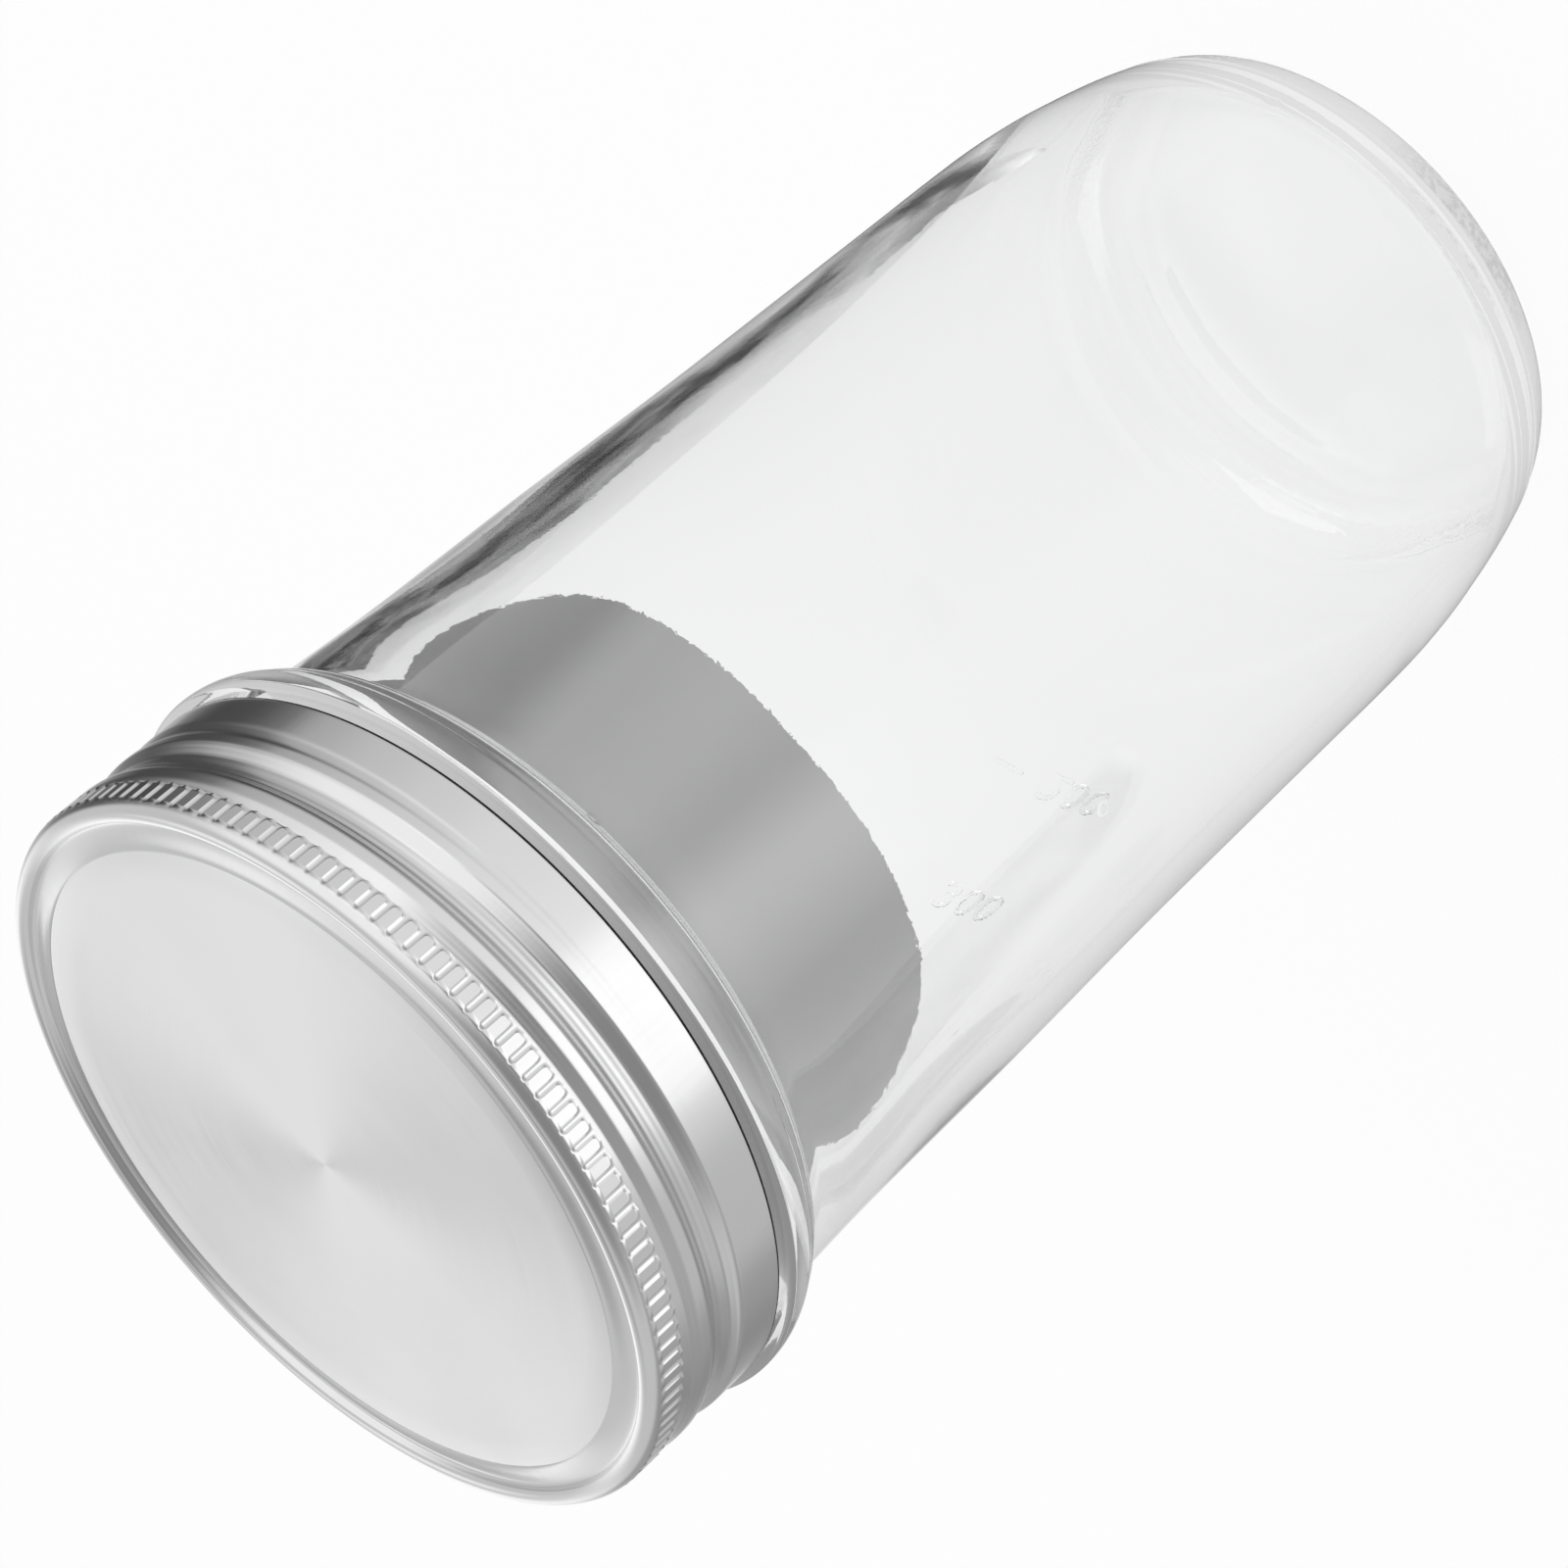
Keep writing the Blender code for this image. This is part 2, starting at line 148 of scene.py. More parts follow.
def spin_by_sectors(chain: Sequence[Point], columns: int, turns: int,
                    rise: float) -> BMesh:
    """Spin a profile around the jar's axis: one sector first, then copies of the sector.

    Args:
        chain: (radius, height) pairs in millimetres.
        columns: the number of steps in a full turn, a multiple of SECTOR_COLUMNS.
        turns: the number of turns.
        rise: climb per turn in millimetres.

    Returns:
        The spun surface, its sectors merged.
    """
    spun = bmesh.new()
    copies = columns * turns // SECTOR_COLUMNS - 1
    share = SECTOR_COLUMNS / columns
    bmesh.ops.spin(
        spun,
        geom=add_profile(spun, chain),
        cent=(0.0, 0.0, 0.0),
        axis=(0.0, 0.0, 1.0),
        dvec=(0.0, 0.0, rise * MM / columns),
        angle=math.tau * share,
        steps=SECTOR_COLUMNS,
    )
    bmesh.ops.spin(
        spun,
        geom=spun.verts[:] + spun.edges[:] + spun.faces[:],
        cent=(0.0, 0.0, 0.0),
        axis=(0.0, 0.0, 1.0),
        dvec=(0.0, 0.0, rise * MM * share),
        angle=math.tau * share * copies,
        steps=copies,
        use_duplicate=True,
    )
    bmesh.ops.remove_doubles(spun, verts=spun.verts, dist=MERGE_DISTANCE)
    return spun


def mesh_from(bm: BMesh, name: str) -> bpy.types.Mesh:
    """Turn a mesh in the making into a finished one.

    Args:
        bm: the mesh in the making, which is freed.
        name: the finished mesh's name.

    Returns:
        The finished mesh.
    """
    mesh = bpy.data.meshes.new(name)
    bm.to_mesh(mesh)
    bm.free()
    return mesh


def join_into(bm: BMesh, part: BMesh) -> None:
    """Add a finished part to a mesh.

    Args:
        bm: the mesh that takes the part.
        part: the part, which is freed.
    """
    mesh = mesh_from(part, "part")
    bm.from_mesh(mesh)
    bpy.data.meshes.remove(mesh)


def to_scene(name: str, data: bpy.types.ID) -> bpy.types.Object:
    """Make an object and link it to the scene.

    Args:
        name: its name.
        data: its mesh, curve, light or camera.

    Returns:
        The object.
    """
    thing = bpy.data.objects.new(name, data)
    bpy.context.scene.collection.objects.link(thing)
    return thing


def unit_way(azimuth: float, elevation: float) -> Vector:
    """Give the direction of an azimuth and an elevation in degrees, one unit long."""
    a, e = math.radians(azimuth), math.radians(elevation)
    return Vector((math.cos(a) * math.cos(e), math.sin(a) * math.cos(e), math.sin(e)))


def radius_of(vertex: Vertex) -> float:
    """Give a vertex's distance from the jar's axis in millimetres."""
    return math.hypot(vertex.co.x, vertex.co.y) / MM


def azimuth_of(vertex: Vertex) -> float:
    """Give a vertex's azimuth in radians."""
    return math.atan2(vertex.co.y, vertex.co.x)


def move_to(vertex: Vertex, radius: float, azimuth: float) -> None:
    """Move a vertex, at its own height, to a radius in millimetres and an azimuth in radians."""
    vertex.co.x = radius * MM * math.cos(azimuth)
    vertex.co.y = radius * MM * math.sin(azimuth)


def push_out(vertex: Vertex, distance: float) -> None:
    """Move a vertex away from the jar's axis.

    Args:
        vertex: the vertex.
        distance: how far, in millimetres.
    """
    scale = 1.0 + distance / radius_of(vertex)
    vertex.co.x *= scale
    vertex.co.y *= scale


def turn_profile(bm: BMesh, points: Sequence[Point], columns: int,
                 last_radius: Callable[[float], float] | None = None) -> None:
    """Turn a profile once around the jar's axis.

    Args:
        bm: the mesh that takes the turned surface.
        points: (radius, height) pairs in millimetres.
        columns: the number of steps in the full turn.
        last_radius: gives the last ring's radius for an azimuth in radians, where it isn't round.
    """
    turned = spin_by_sectors(points, columns, 1, 0.0)
    if last_radius:
        for vertex in turned.verts:
            if abs(vertex.co.z / MM - points[-1][1]) < SAME_HEIGHT:
                azimuth = azimuth_of(vertex)
                move_to(vertex, last_radius(azimuth), azimuth)
    join_into(bm, turned)


@dataclass(frozen=True)
class ThreadLead:
    """The helix that the lid's thread and the glass thread share.

    Attributes:
        pitch: height of one turn.
        groove_height: height of the lid's groove at azimuth 0.
    """

    pitch: float = 6.35
    groove_height: float = 161.7

    def offset(self, angle: float, height: float) -> float:
        """Height above the groove's nearest turn, for an azimuth in radians and a height."""
        turns = (height - self.groove_height) / self.pitch - angle / math.tau
        return (turns - math.floor(turns + 0.5)) * self.pitch


@dataclass(frozen=True)
class HelicalBand:
    """A band of wall whose rows of faces run along a helix, trimmed flat above and below.

    Attributes:
        lead: the helix.
        bottom: height of the lower edge.
        rows: number of rows between the edges.
        rows_per_pitch: number of rows in one pitch.
        columns: number of steps in one turn, a multiple of rows_per_pitch.
    """

    lead: ThreadLead
    bottom: float
    rows: int
    rows_per_pitch: int
    columns: int

    @property
    def top(self) -> float:
        """Height of the upper edge."""
        return self.bottom + self.rows * self.lead.pitch / self.rows_per_pitch

    def add_to(self, bm: BMesh, radius_at: Callable[[float, float], float]) -> None:
        """Make the band and add it to a mesh.

        Args:
            bm: the mesh that takes the band.
            radius_at: gives the radius in millimetres for an azimuth in radians and a height.
        """
        row = self.lead.pitch / self.rows_per_pitch
        first = self.bottom - self.lead.pitch
        start_radius = radius_at(0.0, self.bottom)
        chain = [(start_radius, first + row * index) for index in range(self.rows_per_pitch + 1)]
        turns = math.ceil(self.rows / self.rows_per_pitch) + 1
        band = spin_by_sectors(chain, self.columns, turns, self.lead.pitch)
        for height, side in ((self.bottom, -1.0), (self.top, 1.0)):
            bmesh.ops.bisect_plane(
                band,
                geom=band.verts[:] + band.edges[:] + band.faces[:],
                dist=MERGE_DISTANCE,
                plane_co=(0.0, 0.0, height * MM),
                plane_no=(0.0, 0.0, side),
                clear_outer=True,
            )
        for vertex in band.verts:
            azimuth = azimuth_of(vertex)
            move_to(vertex, radius_at(azimuth, vertex.co.z / MM), azimuth)
        join_into(bm, band)


def finish_mesh(bm: BMesh, name: str, sharp_degrees: float) -> bpy.types.Object:
    """Close a mesh, face it outward and make it an object.

    Args:
        bm: the mesh, which is freed.
        name: the piece's name.
        sharp_degrees: edges that bend by more than this stay sharp.

    Returns:
        The new object.
    """
    bmesh.ops.remove_doubles(bm, verts=bm.verts, dist=MERGE_DISTANCE)
    bmesh.ops.recalc_face_normals(bm, faces=bm.faces)
    mesh = mesh_from(bm, name)
    mesh.shade_smooth()
    mesh.set_sharp_from_angle(angle=math.radians(sharp_degrees))
    return to_scene(name, mesh)


# Materials


class Sheet:
    """A material or group sheet that nodes are placed on."""

    def __init__(self, tree: bpy.types.NodeTree) -> None:
        """Take the node tree to work on."""
        self.tree = tree

    def add(self, kind: str, **settings: object) -> Node:
        """Place a node and set its properties.

        Args:
            kind: the node's type without the ShaderNode prefix.
            settings: properties of the node.

        Returns:
            The new node.
        """
        prefix = "" if kind.startswith("Node") else "ShaderNode"
        node = self.tree.nodes.new(prefix + kind)
        for key, value in settings.items():
            setattr(node, key, value)
        return node

    def feed(self, node: Node, socket: str | int, source: object) -> None:
        """Link an input to an output, or set it to a plain value.

        Args:
            node: the node.
            socket: the name or the number of its input.
            source: the output's socket or the value.
        """
        target = node.inputs[socket]
        if isinstance(source, Socket):
            self.tree.links.new(source, target)
        else:
            target.default_value = source

    def feed_all(self, node: Node, **sources: object) -> Node:
        """Feed several inputs of a node.

        Args:
            node: the node.
            sources: what each input takes, with underscores for the blanks in the input's name.

        Returns:
            The node.
        """
        for socket, source in sources.items():
            self.feed(node, socket.replace("_", " "), source)
        return node

    def result(self, kind: str, *sources: object, **settings: object) -> Socket:
        """Place a node and feed its inputs in order.

        Args:
            kind: the node's type without the ShaderNode prefix.
            sources: what its inputs take, each an output's socket or a value.
            settings: properties of the node.

        Returns:
            Its first output's socket.
        """
        node = self.add(kind, **settings)
        for index, source in enumerate(sources):
            self.feed(node, index, source)
        return node.outputs[0]

    def math(self, operation: str, *terms: object) -> Socket:
        """Place a Math node with some terms and return its result."""
        return self.result("Math", *terms, operation=operation)

    def ramp(self, value: Socket, low: float, high: float, start: float, end: object) -> Socket:
        """Map a value smoothly from one range to another.

        Args:
            value: the value to map.
            low: where the range starts.
            high: where the range ends.
            start: the result at and before low.
            end: the result at and after high.

        Returns:
            The mapped value's socket.
        """
        node = self.add("MapRange", interpolation_type="SMOOTHSTEP")
        self.feed_all(node, Value=value, From_Min=low, From_Max=high, To_Min=start, To_Max=end)
        return node.outputs["Result"]

    def curve(self, value: Socket, knots: Sequence[Point]) -> Socket:
        """Read a tone from eased knots.

        Args:
            value: the place to read.
            knots: (place, tone) pairs in rising order of place.

        Returns:
            The tone's socket.
        """
        first, span = knots[0][0], knots[-1][0] - knots[0][0]
        peak = max(tone for _, tone in knots)
        share = self.math("MULTIPLY_ADD", value, 1.0 / span, -first / span)
        scale = self.add("ValToRGB")
        scale.color_ramp.interpolation = "EASE"
        stops = scale.color_ramp.elements
        for place, _ in knots[1:-1]:
            stops.new((place - first) / span)
        for stop, (place, tone) in zip(stops, knots):
            stop.position = (place - first) / span
            stop.color = grey(tone / peak)
        self.feed(scale, 0, share)
        return self.math("MULTIPLY", scale.outputs[0], peak)

    def noise(self, vector: Socket, scale: float, detail: float, roughness: float = 0.5) -> Socket:
        """Place a Noise Texture.

        Args:
            vector: the coordinate it reads.
            scale: how fine it is.
            detail: how many finer layers it has.
            roughness: how strong these layers are.

        Returns:
            Its value's socket.
        """
        node = self.add("TexNoise", noise_dimensions="3D")
        self.feed_all(node, Vector=vector, Scale=scale, Detail=detail, Roughness=roughness)
        return node.outputs["Fac"]

    def stretch(self, vector: Socket, scale: Sequence[float]) -> Socket:
        """Scale a coordinate by axis."""
        return self.feed_all(self.add("Mapping"), Vector=vector, Scale=scale).outputs["Vector"]

    def bump(self, distance: float, height: Socket, strength: float = 1.0) -> Socket:
        """Place a Bump node.

        Args:
            distance: the relief's full height in metres.
            height: the relief as a share of that height.
            strength: how much of the relief shows.

        Returns:
            The normal's socket.
        """
        node = self.add("Bump")
        self.feed_all(node, Strength=strength, Distance=distance, Height=height)
        return node.outputs[0]

    def mix_colour(self, share: object, first: object, second: object) -> Socket:
        """Mix two colours.

        Args:
            share: how much of the second shows.
            first: the first colour or its socket.
            second: the second colour or its socket.

        Returns:
            The mixed colour's socket.
        """
        node = self.add("Mix", data_type="RGBA")
        for index, source in ((0, share), (6, first), (7, second)):
            self.feed(node, index, source)
        return node.outputs[2]

    def group(self, group: bpy.types.NodeTree, **values: object) -> Node:
        """Place a shared group and feed its inputs, named with underscores for blanks."""
        return self.feed_all(self.add("Group", node_tree=group), **values)

    def show(self, surface: Socket) -> None:
        """Make a shader the surface of the material."""
        self.feed(self.tree.nodes["Material Output"], "Surface", surface)


def rgba(colour: Colour) -> tuple[float, float, float, float]:
    """Add full opacity to a colour."""
    return (colour[0], colour[1], colour[2], 1.0)


def grey(tone: float) -> tuple[float, float, float, float]:
    """Give the opaque grey of a tone."""
    return rgba((tone, tone, tone))


def new_material(name: str) -> tuple[Material, Sheet, Node]:
    """Start a material.

    Args:
        name: the material's name.

    Returns:
        The material, its sheet, and its Principled BSDF.
    """
    material = bpy.data.materials.new(name)
    material.use_nodes = True
    sheet = Sheet(material.node_tree)
    return material, sheet, material.node_tree.nodes["Principled BSDF"]


class EffectGroups:
    """The shader groups that more than one finish uses, each built once."""

    def __init__(self) -> None:
        """Build the groups."""
        self.handling = self.build_handling()
        self.polar = self.build_polar()

    @staticmethod
    def start(name: str, numbers_in: Sequence[str],
              numbers_out: Sequence[str]) -> tuple[Sheet, Sequence[Socket], Node]:
        """Start a group that takes a vector.

        Args:
            name: the group's name.
            numbers_in: names of the numbers that it takes as well.
            numbers_out: names of the numbers that it gives.

        Returns:
            The group's sheet, what comes in, and the node that takes what goes out.
        """
        group = bpy.data.node_groups.new(name, "ShaderNodeTree")
        group.interface.new_socket("Vector", in_out="INPUT", socket_type="NodeSocketVector")
        for in_out, names in (("INPUT", numbers_in), ("OUTPUT", numbers_out)):
            for number in names:
                group.interface.new_socket(number, in_out=in_out, socket_type="NodeSocketFloat")
        sheet = Sheet(group)
        return sheet, sheet.add("NodeGroupInput").outputs, sheet.add("NodeGroupOutput")

    def build_handling(self) -> bpy.types.NodeTree:
        """Build the group for soft smudges and fine specks on a handled surface.

        Returns:
            The group: Vector, Smudge Size and Speck Size in, Smudge and Speck masks out.
        """
        sheet, given, outs = self.start("handling marks", ("Smudge Size", "Speck Size"),
                                        ("Smudge", "Speck"))
        cloud = sheet.add("TexNoise")
        sheet.feed_all(cloud, Vector=given["Vector"], Scale=given["Smudge Size"], Detail=4.0)
        cells = sheet.add("TexVoronoi", feature="F1")
        sheet.feed_all(cells, Vector=given["Vector"], Scale=given["Speck Size"])
        dots = sheet.ramp(cells.outputs["Distance"], 0.05, 0.11, 1.0, 0.0)
        chance = sheet.result("SeparateColor", cells.outputs["Color"])
        few = sheet.ramp(chance, 0.90, 0.93, 0.0, 1.0)
        sheet.feed_all(outs, Smudge=sheet.ramp(cloud.outputs["Fac"], 0.42, 0.72, 0.0, 1.0),
                       Speck=sheet.math("MULTIPLY", dots, few))
        return sheet.tree

    def build_polar(self) -> bpy.types.NodeTree:
        """Build the group that reads a place as radius, turn and height about the jar's axis.

        Returns:
            The group: Vector in, Radius, Turn (0 to 1) and Height out.
        """
        sheet, given, outs = self.start("around the axis", (), ("Radius", "Turn", "Height"))
        split = sheet.add("SeparateXYZ")
        sheet.feed(split, 0, given["Vector"])
        x, y, z = split.outputs
        square = sheet.math("ADD", sheet.math("MULTIPLY", x, x), sheet.math("MULTIPLY", y, y))
        turn = sheet.math("MULTIPLY_ADD", sheet.math("ARCTAN2", y, x), 1.0 / math.tau, 0.5)
        sheet.feed_all(outs, Radius=sheet.math("SQRT", square), Turn=turn, Height=z)
        return sheet.tree


class Brushing(Enum):
    """Which way the grain of a steel face runs: the two coordinates it is drawn in, with scales."""

    CIRCULAR = (("Radius", 5200.0), ("Turn", 7.0))
    AXIAL = (("Turn", 620.0), ("Height", 55.0))


@dataclass(frozen=True)
class SteelFinish:
    """Bright stamped stainless sheet.

    Attributes:
        name: the material's name.
        brushing: which way the grain runs.
        colour: the steel's colour.
        roughness: its mean roughness.
        anisotropy: how much the grain stretches a reflection.
        grain_height: depth of the grain in metres.
    """

    name: str
    brushing: Brushing
    colour: Colour = (0.80, 0.80, 0.805)
    roughness: float = 0.17
    anisotropy: float = 0.3
    grain_height: float = 0.000002

    def build(self, groups: EffectGroups) -> Material:
        """Build the material.

        Args:
            groups: the shared effects.

        Returns:
            The material.
        """
        material, sheet, shader = new_material(self.name)
        place = sheet.add("TexCoord").outputs["Object"]
        polar = sheet.group(groups.polar, Vector=place).outputs
        smudge = sheet.group(groups.handling, Vector=place, Smudge_Size=38.0,
                             Speck_Size=260.0).outputs["Smudge"]
        line = [sheet.math("MULTIPLY", polar[axis], scale) for axis, scale in self.brushing.value]
        grain = sheet.noise(sheet.result("CombineXYZ", *line), 1.0, 3.0, 0.6)
        rough = sheet.ramp(grain, 0.25, 0.75, self.roughness * 0.88, self.roughness * 1.12)
        worn = tuple(0.93 * channel for channel in self.colour)
        share = sheet.math("MULTIPLY", smudge, 0.35)
        sheet.feed_all(
            shader,
            Normal=sheet.bump(self.grain_height, grain),
            Roughness=sheet.math("MULTIPLY_ADD", smudge, 0.03, rough),
            Base_Color=sheet.mix_colour(share, rgba(self.colour), rgba(worn)),
            Metallic=1.0,
            Anisotropic=self.anisotropy,
            Anisotropic_Rotation=0.25 if self.brushing is Brushing.CIRCULAR else 0.0,
            Tangent=sheet.result("Tangent", direction_type="RADIAL", axis="Z"),
        )
        return material


@dataclass(frozen=True)
class GlassFinish:
    """Clear pressed container glass.

    Attributes:
        name: the material's name.
        colour: the tint of the glass.
        ior: its index of refraction.
        ripple: height of the surface's relief in metres, of which the next values are shares.
        slow: share and scale of the slow waves.
        fine: share and scale of the fine grain.
        stipple: share of the grain on the foot, between foot_height and foot_radius in metres.
        crescent: how much the stippled crescent on the near side of the foot darkens the glass.
        crescent_turn: the crescent's place, and with crescent_reach its ends, in shares of a turn.
        shadow_tone: how much light the glass's shadow lets through.
        painted_glow_after: number of reflections in the glass after which a ray ends on a painted
            glow.
        painted_foot_glow: brightness of the painted glow that stands in for light held in the foot's
            thick glass.
        painted_neck_glow: the same painted glow in the neck, towards -Y and towards +Y.
    """

    name: str = "clear container glass"
    colour: Colour = (0.990, 0.993, 0.992)
    ior: float = 1.51
    ripple: float = 0.00003
    slow: Point = (0.3, 85.0)
    fine: Point = (0.06, 900.0)
    speck: float = 1.6
    stipple: float = 3.5
    foot_height: Point = (0.0048, 0.0052)
    foot_radius: Point = (0.029, 0.032)
    crescent: float = 0.42
    crescent_turn: float = 0.472
    crescent_reach: Point = (0.02, 0.08)
    shadow_tone: float = 0.90
    painted_glow_after: float = 3.5
    painted_foot_glow: float = 0.78
    painted_neck_glow: Point = (0.25, 0.60)

    def build(self, groups: EffectGroups) -> Material:
        """Build the material.

        Args:
            groups: the shared effects.

        Returns:
            The material.
        """
        material, sheet, shader = new_material(self.name)
        place = sheet.add("TexCoord").outputs["Object"]
        marks = sheet.group(groups.handling, Vector=place, Smudge_Size=26.0,
                            Speck_Size=95.0).outputs
        polar = sheet.group(groups.polar, Vector=place).outputs
        slow = sheet.noise(sheet.stretch(place, (1.0, 1.0, 0.45)), self.slow[1], 2.0)
        fine = sheet.noise(place, self.fine[1], 2.0)
        foot = sheet.math("MULTIPLY", sheet.ramp(polar["Height"], *self.foot_height, 1.0, 0.0),
                          sheet.ramp(polar["Radius"], *self.foot_radius, 0.0, 1.0))
        stipple = sheet.math("MULTIPLY", sheet.math("MULTIPLY", fine, foot), self.stipple)
        waves = sheet.math("ADD", sheet.math("MULTIPLY", self.slow[0], slow), stipple)
        specks = sheet.math("MULTIPLY_ADD", marks["Speck"], self.speck,
                            sheet.math("MULTIPLY", fine, self.fine[0]))
        away = sheet.math("SUBTRACT", polar["Turn"], self.crescent_turn)
        near_side = sheet.ramp(sheet.math("ABSOLUTE", away), *self.crescent_reach,
                               self.crescent, 0.0)
        grains = sheet.math("MULTIPLY", sheet.math("MULTIPLY", near_side, foot),
                            sheet.ramp(fine, 0.38, 0.62, 0.4, 1.0))
        sheet.feed_all(
            shader,
            Normal=sheet.bump(self.ripple, sheet.math("ADD", waves, specks)),
            Base_Color=sheet.mix_colour(grains, rgba(self.colour), grey(0.0)),
            Roughness=sheet.ramp(marks["Smudge"], 0.0, 1.0, 0.0, 0.012),
            IOR=self.ior,
            Transmission_Weight=1.0,
        )
        # Painted glow: a ray that has reflected in the glass more often than the set limit ends on a
        # flat emission instead of the glass. The emission is brighter in the foot and darker towards
        # -Y in the neck.
        path = sheet.add("LightPath").outputs
        split = sheet.add("SeparateXYZ")
        sheet.feed(split, 0, place)
        neck = sheet.ramp(split.outputs[1], -0.03, 0.045, *self.painted_neck_glow)
        painted_glow = sheet.result(
            "Emission", sheet.ramp(polar["Height"], 0.02, 0.13, self.painted_foot_glow, neck))
        glass_or_painted_glow = sheet.result(
            "MixShader", sheet.math("GREATER_THAN", path["Glossy Depth"], self.painted_glow_after),
            shader.outputs[0], painted_glow)
        clear = sheet.result("BsdfTransparent", grey(self.shadow_tone))
        sheet.show(sheet.result("MixShader", path["Is Shadow Ray"], glass_or_painted_glow, clear))
        return material


@dataclass(frozen=True)
class SiliconeFinish:
    """Pale, slightly cloudy silicone rubber.

    Attributes:
        name: the material's name.
        colour: its colour.
        roughness: its mean roughness.
    """

    name: str = "seal silicone"
    colour: Colour = (0.80, 0.80, 0.77)
    roughness: float = 0.48

    def build(self, groups: EffectGroups) -> Material:
        """Build the material.

        Args:
            groups: the shared effects.

        Returns:
            The material.
        """
        material, sheet, shader = new_material(self.name)
        place = sheet.add("TexCoord").outputs["Object"]
        smudge = sheet.group(groups.handling, Vector=place, Smudge_Size=60.0,
                             Speck_Size=400.0).outputs["Smudge"]
        dull = tuple(0.9 * channel for channel in self.colour)
        sheet.feed_all(
            shader,
            Base_Color=sheet.mix_colour(smudge, rgba(self.colour), rgba(dull)),
            Roughness=sheet.ramp(smudge, 0.0, 1.0, self.roughness, self.roughness * 1.25),
            Normal=sheet.bump(0.00002, sheet.noise(place, 1500.0, 2.0), strength=0.4),
            Subsurface_Weight=0.15,
            Subsurface_Radius=(0.001, 0.001, 0.0008),
        )
        return material


# Pieces


@dataclass
class ScrewLid:
    """The stamped steel lid: centre panel, channel, rim, knurled band, rolled thread and skirt.

    Heights of profiles and flutes are measured from the top face of the centre panel, upward.

    Attributes:
        outer_wall: radius beyond which a vertex lies on the outside of the wall.
        flute_column: where a flute's outermost columns stand, as a share of the flutes' spacing.
        flute_ease: height over which a flute deepens below its top and flares above its bottom.
        flute_fade: height above a flute over which its columns spread out evenly.
        flute_halves: half its width at the very top, and what fade, round end and flare add.
        fade: height over which the rolled thread sets in.
        gap_shade_height: height below which the lowest faces take a near-black finish, painted shade
            of the gap under the lid's edge.
        roll: depth of the rolled thread by height above its groove.
        roll_strength: share of that depth by height above the ground.
        ridge: height above the groove of a fine ridge, and how far the ridge stands out.
    """

    lead: ThreadLead = field(default_factory=ThreadLead)
    panel_height: float = 171.5
    radius: float = 45.5
    sheet: float = 0.5
    outer_wall: float = 44.75
    columns: int = 660
    panel_rings: tuple[float, ...] = (0.0, 6.0, 14.0, 26.0, 36.0)
    channel_step: float = 0.28
    flutes: int = 132
    flute_depth: float = 0.28
    flute_top: float = -0.75
    flute_bottom: float = -4.29
    flute_column: float = 0.4
    flute_ease: float = 0.75
    flute_fade: float = 0.6
    flute_round: float = 0.8
    flute_halves: tuple[float, float, float, float] = (0.12, 0.28, 0.10, 0.21)
    knurl_rows: tuple[float, ...] = (-1.45, -1.65, -2.60, -3.50, -3.75, -3.95, -4.12, -4.26)
    rows_per_pitch: int = 30
    rows_below_groove: int = 25
    rows_above_groove: int = 26
    fade: float = 1.3
    panel_edge: float = 39.6
    panel_slack: float = 0.01
    gap_shade_height: float = -18.86
    panel_and_channel: Knots = (
        (39.60, 0.0), (39.72, -0.03), (39.86, -0.14), (40.30, -0.36), (41.10, -0.60),
        (42.00, -0.74), (42.50, -0.76), (42.78, -0.66), (42.95, -0.40), (43.06, -0.08),
        (43.24, 0.14), (43.60, 0.33), (44.05, 0.39), (44.50, 0.30), (44.92, 0.04),
        (45.22, -0.34), (45.42, -0.78), (45.50, -1.20),
    )
    skirt_and_lip: Knots = (
        (45.50, -16.2), (45.50, -17.4), (45.50, -18.6), (45.50, -18.9), (45.46, -19.12),
        (45.34, -19.27), (45.18, -19.27), (45.05, -19.12), (45.00, -18.9), (45.00, -17.6),
    )
    inside: Knots = (
        (0.0, -0.5), (20.0, -0.5), (39.3, -0.5), (39.55, -0.62), (40.10, -0.92), (41.6, -1.2),
        (42.4, -1.27), (42.95, -1.15), (43.3, -0.75), (43.5, -0.35), (43.9, -0.14),
        (44.3, -0.28), (44.55, -0.75), (44.6, -1.3), (44.6, -2.6), (44.55, -3.8), (44.5, -4.3),
    )
    roll: Knots = (
        (-2.90, 0.0), (-0.95, 0.76), (-0.10, 0.84), (0.70, 0.74), (2.60, 0.0),
    )
    roll_strength: Knots = (
        (157.4, 0.25), (158.8, 1.0), (163.2, 1.0), (165.2, 0.50),
    )
    ridge: Point = (-1.68, 0.035)
    ridge_half: float = 0.26

    def outer_band(self) -> HelicalBand:
        """Lay out the band of the rolled thread on the outside.

        Returns:
            The band.
        """
        row = self.lead.pitch / self.rows_per_pitch
        bottom = self.lead.groove_height - self.rows_below_groove * row
        rows = self.rows_below_groove + self.rows_above_groove
        return HelicalBand(self.lead, bottom, rows, self.rows_per_pitch, self.columns)

    def inner_band(self) -> HelicalBand:
        """Lay out the coarser band on the inside, between the same heights.

        Returns:
            The band.
        """
        outer = self.outer_band()
        return HelicalBand(self.lead, outer.bottom, outer.rows // 3, outer.rows_per_pitch // 3,
                           self.columns)

    def rolled_radius(self, angle: float, height: float) -> float:
        """Outside radius in the threaded band.

        Args:
            angle: azimuth in radians.
            height: height in millimetres.

        Returns:
            The radius in millimetres.
        """
        offset = self.lead.offset(angle, height)
        depth = along_knots(self.roll, offset) * along_knots(self.roll_strength, height)
        depth -= self.ridge[1] * ease(1.0 - abs(offset - self.ridge[0]) / self.ridge_half)
        return self.radius - depth * ease((height - self.outer_band().bottom) / self.fade)

    @property
    def flute_span(self) -> Point:
        """Heights of the lower and the upper end of the flutes above the ground."""
        return self.panel_height + self.flute_bottom, self.panel_height + self.flute_top

